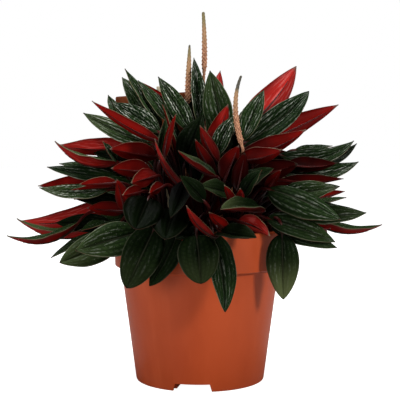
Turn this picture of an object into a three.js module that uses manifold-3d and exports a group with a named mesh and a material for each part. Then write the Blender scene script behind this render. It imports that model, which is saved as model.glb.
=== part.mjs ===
// Potted peperomia: a dense mound of boat-shaped, ribbed leaves on red stalks, green above and crimson
// below, with three flower spikes and a bare plant label, in a terracotta-coloured 12 cm nursery pot.
// Millimetres, +Z up. The origin is the middle of the pot's foot, on the surface that it stands on; -Y is
// the front.
import * as THREE from "three";
import { mergeVertices } from "three/addons/utils/BufferGeometryUtils.js";
import Module from "manifold-3d";

const wasm = await Module();
wasm.setup();

// Driving dimensions
const GAP = 0.3; // clearance between pieces that rest on each other
const POT = {
  height: 106,
  footRadius: 44.7,
  stepRadius: 55.2,
  stepZ: 80,
  bandBottomRadius: 59.2,
  rimRadius: 60,
  wall: 1.6,
  bandWall: 2.2,
  shoulder: 4, // height of the slope inside, from the step up into the band
  floorZ: 5.6,
  floorThick: 1.8,
  fillet: 3, // slope between floor and wall inside
  footWidth: 3,
  edge: 0.8, // bevel at the foot and the rim
  sides: 36,
};
const FOOT_GAP = { count: 3, halfAngle: 0.262, height: 5.2, slope: 0.035, depth: 14, turn: -0.117 };
const DRAIN = { count: 6, radius: 3.6, ring: 31, sides: 8 };
const WEB = { thick: 2.4, inner: 27, outer: 42.6, bottom: 1.4, overlap: 0.3, turn: -0.4 };
const SOIL = { top: 93, bump: 1.4, inset: 0.45, sides: 18, topRings: 3, holeSides: 8 };
const STEM = { radius: 4.2, shares: [0.8, 1, 0.9, 0.45], sunk: 12, rise: 22, shoulder: 3, sides: 8 };
const CROWN_RING = 29; // distance of the outer crowns from the pot's axis
const CROWN_REACH = 0.45; // a leaf grows from the crown nearest to this share of its neck's distance out
const NEAR_CROWNS = 3; // and tries this many crowns in turn

// Leaf stalks. A stalk starts up the stem by its leaf's height, goes up and leans out, and lines up with
// the blade.
const PETIOLE = {
  radius: 1,
  rootRadius: 0.75,
  rootOut: 2.2, // from the middle of the stem
  firstRoot: 4, // lowest and highest roots, above the soil
  lastRoot: 20,
  lowNeck: 98, // heights of the leaf necks that start there
  highNeck: 178,
  riseLeast: 10,
  riseShare: 0.45, // of the height from root to neck
  leanLeast: 8,
  leanShare: 0.3, // of the distance from stem to neck
  runIn: 0.3, // length in line with the blade, as a share of that distance
  runInReach: 20, // and of at least this
  overRim: 12, // a lower neck's stalk arches over the rim
  archShare: 0.7,
  liftShare: 0.3,
};
const BLADE = { thick: 0.9, widest: 0.4, tipHalf: 0.45 };
const EYE = new THREE.Vector3(0, -740, 174); // where the leaves below are seen from
// Lean of a leaf's upper side towards the pot's axis, for each unit up
const INWARD = { seen: 0.6, hidden: 0.5 };
const CLEAR = 0.35; // each leaf is this much fatter all round while its place is tried

const SPIKE = {
  stalkRadius: 1.1,
  holeRadius: 1.9,
  sunk: 11,
  collar: 3, // straight part above the soil
  lift: 24,
  runIn: 0.9,
  stalkAt: [0, 0.2, 0.4, 0.6, 0.8, 0.95],
  bodyAt: [0.02, 0.1, 0.3, 0.5, 0.7, 0.88, 1],
  startShare: 0.6, // of the full radius, where the stalk widens into the spike
  swell: 4,
  sides: 6,
};
const CARD = {
  centreX: -34.7,
  y: 38,
  z: 199.7,
  width: 54,
  height: 62,
  thick: 0.8,
  tilt: 0.066,
  corner: 3,
  topCorner: 0.6,
};
const STAKE = { x: -26.8, y: 39.4, width: 9.8, thick: 1.2, top: 205.5, bottom: 72, point: 9, corner: 1 };

const COLOURS = {
  pot: { color: 0xa8482c, roughness: 0.42, metalness: 0 },
  soil: { color: 0x2a1d14, roughness: 0.95, metalness: 0 },
  leaf: { color: 0x2f4a2c, roughness: 0.4, metalness: 0 },
  spike: { color: 0xc38c64, roughness: 0.8, metalness: 0 },
  card: { color: 0x6e2f18, roughness: 0.6, metalness: 0 },
  stake: { color: 0xe9dcc4, roughness: 0.5, metalness: 0 },
};

// Stems that carry the leaves: one in the middle and the rest in a ring, the first of them at the front
const RING_CROWNS = 8;
const CROWNS = [{ name: "crown_middle", x: 0, y: 2 }];
for (let i = 0; i < RING_CROWNS; i++) {
  const turn = (i / RING_CROWNS) * 2 * Math.PI - Math.PI / 2;
  const [x, y] = [CROWN_RING * Math.cos(turn), CROWN_RING * Math.sin(turn)];
  CROWNS.push({ name: "crown_" + (i + 1), x, y });
}

// Flower spikes: the stalk's foot in the soil, then points up the spike as x and z seen from the front, and
// depth
const SPIKES = [
  {
    name: "flower_spike_tall",
    foot: [6, 13.5],
    body: [[2.5, 207, 24], [3.1, 225, 25], [2.2, 255, 26]],
    radius: 1.85,
    point: 0.75,
  },
  {
    name: "flower_spike_left",
    foot: [-11, 12],
    body: [[-8.4, 187, 15], [-8, 206, 16], [-7.2, 232.5, 17]],
    radius: 2.15,
    point: 0.2,
  },
  {
    name: "flower_spike_curved",
    foot: [11, -10],
    body: [[29.6, 161.5, -26], [25.3, 180.5, -24], [24.8, 195, -23], [28.6, 211.3, -22]],
    radius: 1.75,
    point: 0.25,
  },
];

// Leaves, each by its tip and its neck as seen from the front: x and z on the plane of the pot's axis, and
// depth. Then width, the turn of its upper face from the viewer and its fold in degrees, arc and fullness.
const LEAVES = [
  // crown of the mound
  ["A", -4.3, 223.5, 20, 0, 176, 2, 13, 25, 30, 0, 1],
  ["B", 6.9, 214.7, 4, 18, 168, -6, 22, 12, 22, 0, 1],
  ["ZZ", 24.5, 184, -4, 11, 155, -14, 14, 22, 22, 0.03, 1],
  ["C", 14, 214.7, 22, 10, 180, 12, 14, 165, 25, 0, 1],
  ["D", -29, 210.5, 14, -6, 172, 0, 16, 20, 22, 0, 1],
  ["E", -54, 210, 30, -30, 174, 10, 20, 30, 22, 0, 1],
  ["F", -52, 216, 20, -27, 176, 4, 14, 52, 30, -0.03, 1],
  ["G", -43, 208, 16, -21, 178, 2, 12, 34, 25, 0, 1],
  ["G2", -42.8, 207.7, 26, -9, 185.5, 16, 5, 165, 22, 0, 1],
  ["H", -63.7, 197.8, 30, -56, 175, 12, 13, 40, 25, 0, 1],
  ["I", -61, 192.8, 10, -28.5, 172, -2, 17, 30, 22, 0, 1],
  ["J", -75, 193.8, -8, -27, 165, -14, 11, 145, 28, -0.045, 1],
  ["K", -81, 185.5, -2, -33, 164, -10, 18, 34, 22, -0.05, 1],
  ["L", -70, 174, 20, -50, 164, 10, 9, 60, 25, 0, 1],
  ["TT", 66.6, 217.8, 36, 27, 172, 8, 24.5, 165, 18, -0.055, 0.85],
  ["UU", 44.3, 201.3, 6, 29.5, 166, -12, 16, 20, 25, 0, 1],
  ["VV", 75.5, 200.5, 10, 31, 164.5, -10, 19, 22, 24, -0.05, 0.8],
  ["QQ", 96, 191.2, 24, 37.5, 163, 2, 18.5, 155, 25, -0.02, 1],
  ["RR", 73.5, 174, -10, 28, 156, -22, 17, 150, 28, -0.07, 1],
  // left side
  ["M", -97.4, 163.5, -5, -50, 163, 0, 16, 150, 25, -0.06, 1],
  ["P", -100.9, 166, -15, -57, 151, -10, 17, 86, 42, -0.18, 1],
  ["M2", -68, 166, 2, -35.5, 158, 4, 11, 158, 25, 0, 1],
  ["N", -63, 160.5, -25, -30, 155, -18, 16, 155, 22, 0, 1],
  ["O", -67.5, 165.5, -30, -58, 152, -18, 7, 30, 32, 0, 1],
  ["Q", -98, 150.3, 8, -58, 146, 2, 13, 55, 25, -0.03, 1],
  ["R", -106.5, 148, -2, -55, 139.5, -8, 17, 48, 25, -0.04, 1],
  ["S1", -113, 134.8, -6, -66, 138.5, -6, 13, 155, 25, -0.02, 1],
  ["S2", -112, 133.5, -16, -64, 132, -18, 15, 42, 20, -0.07, 1],
  ["T", -90, 132, -26, -56, 135.5, -22, 11, 72, 40, 0, 1],
  ["U", -89, 126.5, -18, -51, 121, -14, 15, 42, 22, 0, 1],
  ["V0", -126, 110.5, -8, -64, 125, 0, 16, 150, 25, -0.12, 1],
  ["V", -128, 112, -14, -62, 111, -10, 18, 76, 42, -0.2, 1],
  ["W", -135, 100, -27, -85, 109, -20, 15, 78, 40, -0.19, 1],
  ["X", -99, 98, 6, -60, 98, 0, 11, 60, 25, -0.02, 1],
  ["Y", -98.3, 81, -58, -60, 99, -26, 23, 16, 12, -0.03, 0.8],
  ["Z", -104.5, 84.3, -36, -70, 102, -20, 11, 55, 25, 0, 1],
  ["AA", -87, 89.5, -68, -41, 103, -46, 24, 12, 8, 0, 0.95],
  ["r1", -62, 147, -38, -34, 144.5, -36, 15, 155, 25, 0, 1],
  ["r2", -48, 137, -58, -30, 142, -42, 14, 160, 25, 0, 1],
  ["r3", -58, 139.5, -42, -52, 118, -50, 12, 160, 25, 0, 1],
  ["r4", -54, 128.5, -62, -40, 131, -50, 10, 150, 25, 0, 1],
  ["r5", -35.5, 129.8, -68, -25, 135, -56, 9, 150, 25, 0, 1],
  ["r6", -79, 119.4, -30, -53, 117, -30, 12, 155, 25, 0, 1],
  ["r7", -84, 136, -24, -58, 137, -24, 9, 150, 25, 0, 1],
  // lower front, hanging over the rim
  ["BB", -51.5, 63, -68, -32, 105, -60, 27, 5, 8, 0, 0.62],
  ["CC", -35.5, 64.5, -60, -16, 101, -58, 19, 30, 15, -0.05, 0.8],
  ["DD", 0.8, 66, -78, -2.5, 100.5, -72, 28, 8, 10, 0, 0.6],
  ["EE", 17.5, 46, -72, 9, 101, -64, 20, 25, 22, 0.03, 0.8],
  ["FF", 58.5, 55, -48, 57.5, 101, -50, 23.5, 8, 12, 0, 0.8],
  ["hh", -45, 104.5, -94, -36, 126, -60, 28, 8, 14, 0, 0.65],
  ["ii", -24.5, 97.5, -95, -19, 118, -62, 25, 8, 14, 0, 0.7],
  ["jj", -20.5, 112.5, -90, -10, 138, -54, 15, 25, 25, -0.03, 0.9],
  ["kk", -9.5, 121, -86, 10.5, 98.5, -72, 9, 150, 25, -0.08, 1],
  ["ll", 6.3, 116.5, -82, 20, 104, -70, 9, 140, 25, -0.05, 1],
  ["mm", 14.5, 118.5, -90, 43, 117.5, -56, 19, 64, 38, 0, 0.8],
  ["nn", 39.5, 98.6, -92, 14, 102.5, -64, 18, 50, 32, -0.04, 0.8],
  ["nn2", 48.7, 100, -82, 27, 110, -60, 13, 140, 25, 0.05, 0.9],
  // right side
  ["GG1", 94.5, 95.5, -52, 47, 112, -46, 18, 30, 18, 0.01, 0.9],
  ["GG2", 95.8, 91.5, -60, 50, 107, -46, 15.5, 35, 18, -0.03, 0.9],
  ["HH", 98, 111.5, -58, 47, 132.5, -40, 23, 32, -12, 0.03, 0.9],
  ["II", 116.2, 116, -12, 62, 117, -12, 23, 45, 20, -0.06, 1],
  ["JJ", 127.3, 107.8, 17, 78, 111.5, 8, 16, 76, 40, -0.15, 1],
  ["KK", 91.5, 105, 10, 69, 107.6, 0, 8, 150, 25, 0, 1],
  ["LL", 101, 131, 30, 74, 124, 14, 9, 140, 25, 0, 1],
  ["LL2", 102, 126.7, 24, 78, 121, 8, 8, 60, 25, 0, 1],
  ["MM", 94.5, 134, -30, 56, 128, -24, 17, 28, 18, -0.02, 0.9],
  ["MM2", 97.5, 134.5, -12, 60, 127.5, -8, 15, 40, 18, -0.02, 0.9],
  ["NN", 100, 139.8, -10, 57, 139, -14, 10, 140, 25, -0.03, 1],
  ["OO", 110.3, 151.6, -6, 56, 145, -14, 19, 40, 22, -0.11, 1],
  ["PP", 107, 166.2, 8, 55, 156.5, -4, 17, 42, 22, -0.15, 1],
  ["PP2", 109, 164.3, 16, 62, 151, 6, 16, 45, 22, -0.15, 1],
  ["PP3", 92, 162.7, 22, 66, 159.7, 12, 9, 60, 22, -0.03, 1],
  ["OO2", 95.5, 150.8, 4, 60, 150.5, -4, 13, 150, 25, -0.06, 1],
  ["SS", 57, 160, -44, 26, 153, -28, 15, 150, 28, -0.06, 1],
  // centre
  ["WW", 19.5, 191.5, -14, 8, 154, -22, 16, 160, 25, 0, 1],
  ["XX", 0, 177, -22, 13, 150, -28, 11, 152, 26, -0.05, 1],
  ["YY", -3.5, 167.5, -32, 11, 141, -36, 10, 155, 28, -0.04, 1],
  ["aa", -24, 182.3, -12, -28.5, 152, -18, 10, 30, 28, 0, 1],
  ["bb", -16.5, 185, -16, -25, 154, -22, 9, 150, 28, -0.05, 1],
  ["cc", 1.5, 184, -6, -11, 150, -14, 19, 20, 22, 0, 1],
  ["dd", -31.5, 167.8, -42, 3, 124, -52, 9, 148, 30, -0.13, 1],
  ["ee", -15.3, 159.5, -46, 11, 141.5, -50, 13, 72, 45, -0.08, 1],
  ["ff", -14, 142, -60, 3, 124, -54, 13, 30, 25, 0, 1],
  ["gg", 0, 135, -70, 20, 129, -50, 15, 40, 25, 0, 1],
  ["oo", 27, 163, -32, 17, 139, -38, 16, 160, 25, 0, 1],
  ["pp", 29, 144.5, -46, 15, 137, -40, 9, 150, 25, 0, 1],
  ["qq", 17, 135.4, -72, 24, 120, -64, 7, 150, 28, 0, 1],
  ["rr", 28, 133, -74, 29.5, 120, -64, 8, 150, 28, 0, 1],
  ["ss1", 51.5, 147, -40, 28, 131, -42, 15, 42, 25, 0.04, 1],
  ["ss2", 43, 146, -50, 30, 126, -48, 13, 40, 25, 0.04, 1],
  ["tt", 56.5, 146, -48, 46, 132, -40, 8, 150, 25, 0, 1],
  // dark ones between the others
  ["i1", 64, 141, 14, 26, 132, 8, 21, 150, 15, 0, 0.8],
  ["i2", 62, 158, 18, 24, 144, 12, 20, 150, 15, 0, 0.8],
  ["i3", 66, 118, 10, 30, 116, 4, 20, 150, 15, 0, 0.8],
  ["i4", 26, 152, 8, 20, 122, 6, 20, 150, 15, 0, 0.8],
  ["i5", 4, 184, 26, 4, 150, 16, 20, 150, 15, 0, 0.8],
  ["i6", -46, 140, 10, -24, 120, 6, 19, 150, 15, 0, 0.8],
  ["i7", 31, 158, -40, 26, 132, -42, 13, 150, 15, 0, 0.8],
  ["i8", 68, 150, 2, 34, 140, -2, 19, 150, 15, 0, 0.8],
  ["i9", -74, 150, 8, -40, 138, 2, 20, 150, 15, 0, 0.8],
];

// Leaves that the front view hides: rows round the back, an inner layer round the back and sides, and a low
// one all round, each over its spread in degrees of the circle
const BACK_ROWS = [
  { tipRadius: 96, tipZ: 96, neckRadius: 72, neckZ: 112, count: 7, width: 19, arc: 0.05 },
  { tipRadius: 102, tipZ: 124, neckRadius: 68, neckZ: 122, count: 8, width: 17, arc: 0 },
  { tipRadius: 96, tipZ: 152, neckRadius: 60, neckZ: 138, count: 7, width: 17, arc: 0 },
  { tipRadius: 92, tipZ: 180, neckRadius: 46, neckZ: 152, count: 6, width: 17, arc: 0 },
  { tipRadius: 62, tipZ: 204, neckRadius: 28, neckZ: 162, count: 4, width: 17, arc: 0 },
];
const BACK_SPREAD = 150;
const INNER_ROWS = [
  { tipRadius: 30, tipZ: 186, neckRadius: 14, neckZ: 138, count: 5, width: 23, arc: 0 },
  { tipRadius: 82, tipZ: 118, neckRadius: 44, neckZ: 122, count: 6, width: 21, arc: 0 },
  { tipRadius: 70, tipZ: 144, neckRadius: 34, neckZ: 128, count: 7, width: 21, arc: 0 },
  { tipRadius: 46, tipZ: 166, neckRadius: 20, neckZ: 132, count: 7, width: 21, arc: 0 },
];
const INNER_SPREAD = 240;
const CORE_ROWS = [
  { tipRadius: 34, tipZ: 146, neckRadius: 18, neckZ: 110, count: 8, width: 24, arc: 0 },
];
const CORE_SPREAD = 360;
const ROW_LEAF = { fold: 22, moreArc: 0.03, fullness: 0.9, stagger: 0.25 };
const JITTER = { angle: 7, swing: 0.12, radius: 7, height: 6, roll: 24, width: 2, seed: 4711 };

// What is tried for a leaf that would cross another: shifts along the line of sight, or up for a leaf of
// the rows, and lifts of its stalk
const SHIFTS = [0, 4, -4, 8, -8, 12, -12, 17, -17, 23, -23];
const LIFTS = [0, 8, -6, 16];

// Where rings stand along a blade, and how many steps a stalk has
const STATIONS = { seen: [0.13, 0.42, 0.76, 1], hidden: [0.16, 0.55, 1] };
const STALK_STEPS = 2;

// Small helpers for vectors and solids
const vec = (x, y, z) => new THREE.Vector3(x, y, z);
const across = (v, axis) => v.clone().addScaledVector(axis, -v.dot(axis)).normalize();
const radians = (degrees) => (degrees * Math.PI) / 180;

function solidFromArrays(verts, tris) {
  const vertProperties = new Float32Array(verts.flatMap((v) => [v.x, v.y, v.z]));
  const triVerts = new Uint32Array(tris.flat());
  return new wasm.Manifold(new wasm.Mesh({ numProp: 3, vertProperties, triVerts }));
}

function solidFromGeometry(geometry) {
  const bare = geometry.clone();
  bare.deleteAttribute("normal");
  bare.deleteAttribute("uv");
  const merged = mergeVertices(bare, 1e-4);
  return new wasm.Manifold(
    new wasm.Mesh({
      numProp: 3,
      vertProperties: merged.attributes.position.array,
      triVerts: new Uint32Array(merged.index.array),
    }),
  );
}

function meshFromSolid(name, solid, look) {
  const { vertProperties, triVerts, numProp, numVert } = solid.getMesh();
  const positions = new Float32Array(numVert * 3);
  for (let i = 0; i < numVert; i++)
    positions.set(vertProperties.subarray(i * numProp, i * numProp + 3), i * 3);
  const geometry = new THREE.BufferGeometry();
  geometry.setAttribute("position", new THREE.BufferAttribute(positions, 3));
  geometry.setIndex(new THREE.BufferAttribute(new Uint32Array(triVerts), 1));
  const mesh = new THREE.Mesh(geometry, new THREE.MeshStandardMaterial(look));
  mesh.name = name;
  return mesh;
}

// A solid of revolution about +Z from [radius, z] points that run up the outside, each side flat
function turned(profile, sides) {
  const geometry = new THREE.LatheGeometry(profile.map(([r, z]) => new THREE.Vector2(r, z)), sides);
  return solidFromGeometry(geometry.rotateX(Math.PI / 2));
}

// A seeded sequence of numbers between 0 and 1
function sequence(seed) {
  let state = seed;
  return () => {
    state = (state * 16807) % 2147483647;
    return state / 2147483647;
  };
}

// Pot: tapered wall, a band round the rim that steps out, and a raised floor with drain holes and short
// webs below, on a foot ring with gaps
const FLOOR_TOP = POT.floorZ + POT.floorThick;
const wallRadius = (z) => POT.footRadius + ((POT.stepRadius - POT.footRadius) * z) / POT.stepZ;

// The pot's inner outline as [radius, z], from the rim down to the floor's edge
const INSIDE = [
  [POT.rimRadius - POT.bandWall, POT.height],
  [POT.bandBottomRadius - POT.bandWall, POT.stepZ + POT.shoulder],
  [POT.stepRadius - POT.wall, POT.stepZ - 1],
  [wallRadius(FLOOR_TOP + POT.fillet) - POT.wall, FLOOR_TOP + POT.fillet],
  [wallRadius(FLOOR_TOP) - POT.wall - POT.fillet, FLOOR_TOP],
];

function potSolid() {
  const p = POT;
  let pot = turned(
    [
      [0, p.floorZ],
      [p.footRadius - p.footWidth, p.floorZ],
      [p.footRadius - p.footWidth, 0],
      [p.footRadius - p.edge, 0],
      [p.footRadius, p.edge],
      [p.stepRadius, p.stepZ],
      [p.bandBottomRadius, p.stepZ],
      [p.rimRadius, p.height - p.edge],
      [p.rimRadius - p.edge, p.height],
      ...INSIDE,
      [0, FLOOR_TOP],
    ],
    p.sides,
  );
  for (let i = 0; i < FOOT_GAP.count; i++) {
    const turn = (i * 2 * Math.PI) / FOOT_GAP.count;
    pot = pot.subtract(footGapSolid(turn + FOOT_GAP.turn)).add(webSolid(turn + WEB.turn));
  }
  for (let i = 0; i < DRAIN.count; i++) {
    const turn = ((i + 0.5) * 2 * Math.PI) / DRAIN.count;
    const x = DRAIN.ring * Math.cos(turn);
    const y = DRAIN.ring * Math.sin(turn);
    const [from, to] = [p.floorZ - p.floorThick, FLOOR_TOP + p.floorThick];
    pot = pot.subtract(post(x, y, DRAIN.radius, from, to, DRAIN.sides));
  }
  return pot;
}

// A triangular web under the floor, from the foot ring inwards beside a gap
function webSolid(turn) {
  const top = POT.floorZ + WEB.overlap;
  const outline = new THREE.Shape([
    new THREE.Vector2(WEB.inner, top),
    new THREE.Vector2(WEB.outer, WEB.bottom),
    new THREE.Vector2(WEB.outer, top),
  ]);
  const web = new THREE.ExtrudeGeometry(outline, { depth: WEB.thick, bevelEnabled: false })
    .rotateX(Math.PI / 2)
    .translate(0, WEB.thick / 2, 0)
    .rotateZ(turn - Math.PI / 2);
  return solidFromGeometry(web);
}

// An upright post from one height to another
function post(x, y, radius, from, to, sides) {
  const geometry = new THREE.CylinderGeometry(radius, radius, to - from, sides).rotateX(Math.PI / 2);
  return solidFromGeometry(geometry.translate(x, y, (from + to) / 2));
}

// One shallow gap in the foot ring, with sloped ends, centred on -Y and turned about the axis
function footGapSolid(turn) {
  const half = FOOT_GAP.halfAngle * POT.footRadius;
  const outline = new THREE.Shape([
    new THREE.Vector2(-half - FOOT_GAP.slope * POT.footRadius, -1),
    new THREE.Vector2(half + FOOT_GAP.slope * POT.footRadius, -1),
    new THREE.Vector2(half, FOOT_GAP.height),
    new THREE.Vector2(-half, FOOT_GAP.height),
  ]);
  const block = new THREE.ExtrudeGeometry(outline, { depth: FOOT_GAP.depth, bevelEnabled: false })
    .rotateX(Math.PI / 2)
    .translate(0, -POT.footRadius + FOOT_GAP.depth / 2, 0)
    .rotateZ(turn);
  return solidFromGeometry(block);
}

// Soil: fills the pot to below the rim, with a crumbly top and plain holes for the stems, stalks and stake
function soilHeight(x, y) {
  const broad = 0.6 * Math.sin(0.21 * x + 1) * Math.cos(0.17 * y);
  const fine = 0.4 * Math.sin(0.37 * y - 0.29 * x);
  return SOIL.top + SOIL.bump * (broad + fine);
}

function soilSolid() {
  const side = INSIDE.slice(1).reverse().map(([r, z]) => [r - SOIL.inset, z]);
  side[0][1] += GAP;
  const edge = side[side.length - 1][0];
  const shape = [[0, side[0][1]], ...side];
  for (let i = 0; i <= SOIL.topRings; i++) shape.push([edge * (1 - i / SOIL.topRings), SOIL.top]);
  const geometry = new THREE.LatheGeometry(shape.map(([r, z]) => new THREE.Vector2(r, z)), SOIL.sides);
  geometry.rotateX(Math.PI / 2);
  const pos = geometry.attributes.position;
  for (let i = 0; i < pos.count; i++)
    if (pos.getZ(i) > SOIL.top - 0.1) pos.setZ(i, soilHeight(pos.getX(i), pos.getY(i)));
  let soil = solidFromGeometry(geometry);
  for (const { x, y } of CROWNS) soil = soil.subtract(soilHole(x, y, STEM.radius + 2 * GAP, STEM.sunk + 1));
  for (const { foot } of SPIKES) soil = soil.subtract(soilHole(...foot, SPIKE.holeRadius, SPIKE.sunk + 2));
  const height = SOIL.top + 2 * SOIL.bump - STAKE.bottom + GAP;
  const slot = new THREE.BoxGeometry(STAKE.width + 2 * GAP, STAKE.thick + 2 * GAP, height);
  slot.translate(STAKE.x, STAKE.y, STAKE.bottom - GAP + height / 2);
  return soil.subtract(solidFromGeometry(slot));
}

const soilHole = (x, y, radius, depth) =>
  post(x, y, radius, SOIL.top - depth, SOIL.top + 2 * SOIL.bump, SOIL.holeSides);

// A tube of flat sides through points, with a radius at each and closed ends
function tube(points, radii, sides) {
  const verts = [];
  const tris = [];
  let side = vec(1, 0, 0);
  points.forEach((p, i) => {
    const next = points[Math.min(i + 1, points.length - 1)];
    const ahead = next.clone().sub(points[Math.max(i - 1, 0)]).normalize();
    side = across(side, ahead);
    const up = ahead.clone().cross(side);
    for (let k = 0; k < sides; k++) {
      const a = (2 * Math.PI * k) / sides;
      const [c, s] = [radii[i] * Math.cos(a), radii[i] * Math.sin(a)];
      verts.push(p.clone().addScaledVector(side, c).addScaledVector(up, s));
    }
  });
  for (let i = 0; i + 1 < points.length; i++)
    for (let k = 0; k < sides; k++) {
      const a = i * sides + k;
      const b = i * sides + ((k + 1) % sides);
      tris.push([a, b, b + sides], [a, b + sides, a + sides]);
    }
  const last = (points.length - 1) * sides;
  for (let k = 1; k + 1 < sides; k++) {
    tris.push([0, k + 1, k]);
    tris.push([last, last + k, last + k + 1]);
  }
  return solidFromArrays(verts, tris);
}

// The true place of a point seen at x, z on the plane of the pot's axis and lying at the given depth
const placed = (x, z, depth) => EYE.clone().lerp(vec(x, 0, z), (depth - EYE.y) / -EYE.y);

// Flower spike: a thin stalk out of the soil, then the thicker granular spike, which tapers to its tip
function spikeSolid(spike) {
  const body = spike.body.map((p) => placed(...p));
  const foot = vec(...spike.foot, SOIL.top + SPIKE.collar);
  const above = foot.clone().setZ(SOIL.top + SPIKE.lift);
  const below = body[0].clone().lerp(body[1], -SPIKE.runIn);
  const stalk = new THREE.CubicBezierCurve3(foot, above, below, body[0]);
  const points = [foot.clone().setZ(SOIL.top - SPIKE.sunk), ...SPIKE.stalkAt.map((t) => stalk.getPoint(t))];
  const radii = points.map(() => SPIKE.stalkRadius);
  const curve = new THREE.CatmullRomCurve3(body);
  for (const t of SPIKE.bodyAt) {
    const start = Math.min(1, SPIKE.startShare + SPIKE.swell * t);
    points.push(curve.getPoint(t));
    radii.push(spike.radius * start * (1 - (1 - spike.point) * t ** 3));
  }
  return tube(points, radii, SPIKE.sides);
}

// Label: a bare card on a flat stake, turned to face the front
function cardSolid() {
  const w = CARD.width / 2;
  const h = CARD.height;
  const { corner, topCorner } = CARD;
  const outline = new THREE.Shape();
  outline.moveTo(-w + corner, -h).lineTo(w - corner, -h).lineTo(w, -h + corner).lineTo(w, -topCorner);
  outline.lineTo(w - topCorner, 0).lineTo(-w + topCorner, 0).lineTo(-w, -topCorner).lineTo(-w, -h + corner);
  const card = new THREE.ExtrudeGeometry(outline, { depth: CARD.thick, bevelEnabled: false })
    .rotateZ(CARD.tilt)
    .rotateX(Math.PI / 2)
    .translate(CARD.centreX, CARD.y, CARD.z);
  return solidFromGeometry(card);
}

function stakeSolid() {
  const w = STAKE.width / 2;
  const { top, bottom, point, corner } = STAKE;
  const outline = new THREE.Shape();
  outline.moveTo(0, bottom).lineTo(w, bottom + point).lineTo(w, top - corner).lineTo(w - corner, top);
  outline.lineTo(-w + corner, top).lineTo(-w, top - corner).lineTo(-w, bottom + point);
  const stake = new THREE.ExtrudeGeometry(outline, { depth: STAKE.thick, bevelEnabled: false })
    .rotateX(Math.PI / 2)
    .translate(STAKE.x, STAKE.y + STAKE.thick / 2, 0);
  return solidFromGeometry(stake);
}

// How wide a blade is along its length, from 0 at the neck to 1 at its widest and 0 at the tip
function outlineOf(t, fullness) {
  if (t <= 0 || t >= 1) return 0;
  const rise = (fullness * BLADE.widest) / (1 - BLADE.widest);
  return (t / BLADE.widest) ** rise * ((1 - t) / (1 - BLADE.widest)) ** fullness;
}

// The upper face's direction for a leaf of the table: turned by `turn` degrees from the viewer towards up
// and in
function faceFromView(along, middle, turn) {
  const seen = across(EYE.clone().sub(middle), along);
  const other = along.clone().cross(seen).normalize();
  if (other.dot(upAndIn(middle, INWARD.seen)) < 0) other.negate();
  const a = radians(turn);
  return { bulge: other, face: seen.multiplyScalar(Math.cos(a)).addScaledVector(other, Math.sin(a)) };
}

// The upper face's direction for a leaf of the rows: up and inward, rolled a little
function faceFromRoll(along, middle, roll) {
  const natural = across(upAndIn(middle, INWARD.hidden), along);
  return { bulge: natural.clone(), face: natural.applyAxisAngle(along, radians(roll)) };
}

const upAndIn = (p, share) => vec(-p.x, -p.y, 0).setLength(share).setZ(1);

// A leaf's lines: the stalk from its root in a crown's stem to the neck, and the midrib from the neck to
// the tip
function leafShape(leaf, shift, crown, lift) {
  const { tip, neck } = leafEnds(leaf, shift);
  const chord = tip.clone().sub(neck);
  const middle = tip.clone().add(neck).multiplyScalar(0.5);
  const faceFrom = leaf.seen ? faceFromView : faceFromRoll;
  const { bulge, face } = faceFrom(chord.clone().normalize(), middle, leaf.turn);
  const bend = middle.addScaledVector(bulge, 2 * leaf.arc * chord.length());
  const start = bend.clone().sub(neck).normalize();
  const stalk = stalkLine(neck, start, CROWNS[crown], lift);
  return { tip, neck, bend, face, start, stalk, ...leaf.blade };
}

function leafEnds(leaf, shift) {
  if (leaf.seen) {
    const [tip, neck] = [leaf.tip, leaf.neck].map(([x, z, depth]) => placed(x, z, depth + shift));
    return { tip, neck };
  }
  return { tip: leaf.tip.clone().add(vec(0, 0, shift)), neck: leaf.neck.clone().add(vec(0, 0, shift / 2)) };
}

// The stalk's four Bezier points: up out of the stem, over, and into the neck in the blade's own direction
function stalkLine(neck, start, stem, lift) {
  const outward = vec(neck.x - stem.x, neck.y - stem.y, 0);
  const reach = outward.length();
  outward.normalize();
  const share = (neck.z - PETIOLE.lowNeck) / (PETIOLE.highNeck - PETIOLE.lowNeck);
  const height = THREE.MathUtils.clamp(share, 0, 1);
  const rootZ = SOIL.top + THREE.MathUtils.lerp(PETIOLE.firstRoot, PETIOLE.lastRoot, height);
  const root = vec(stem.x, stem.y, rootZ).addScaledVector(outward, PETIOLE.rootOut);
  const rise = PETIOLE.riseShare * Math.max(neck.z - rootZ, 0) + PETIOLE.riseLeast + lift;
  const lean = PETIOLE.leanLeast + PETIOLE.leanShare * reach;
  const over = root.clone().add(vec(0, 0, rise)).addScaledVector(outward, lean);
  const arrive = neck.clone().addScaledVector(start, -PETIOLE.runIn * Math.max(reach, PETIOLE.runInReach));
  const arch = PETIOLE.archShare * Math.max(0, POT.height + PETIOLE.overRim - neck.z);
  arrive.z += arch + PETIOLE.liftShare * lift;
  return [root, over, arrive, neck];
}

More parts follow.
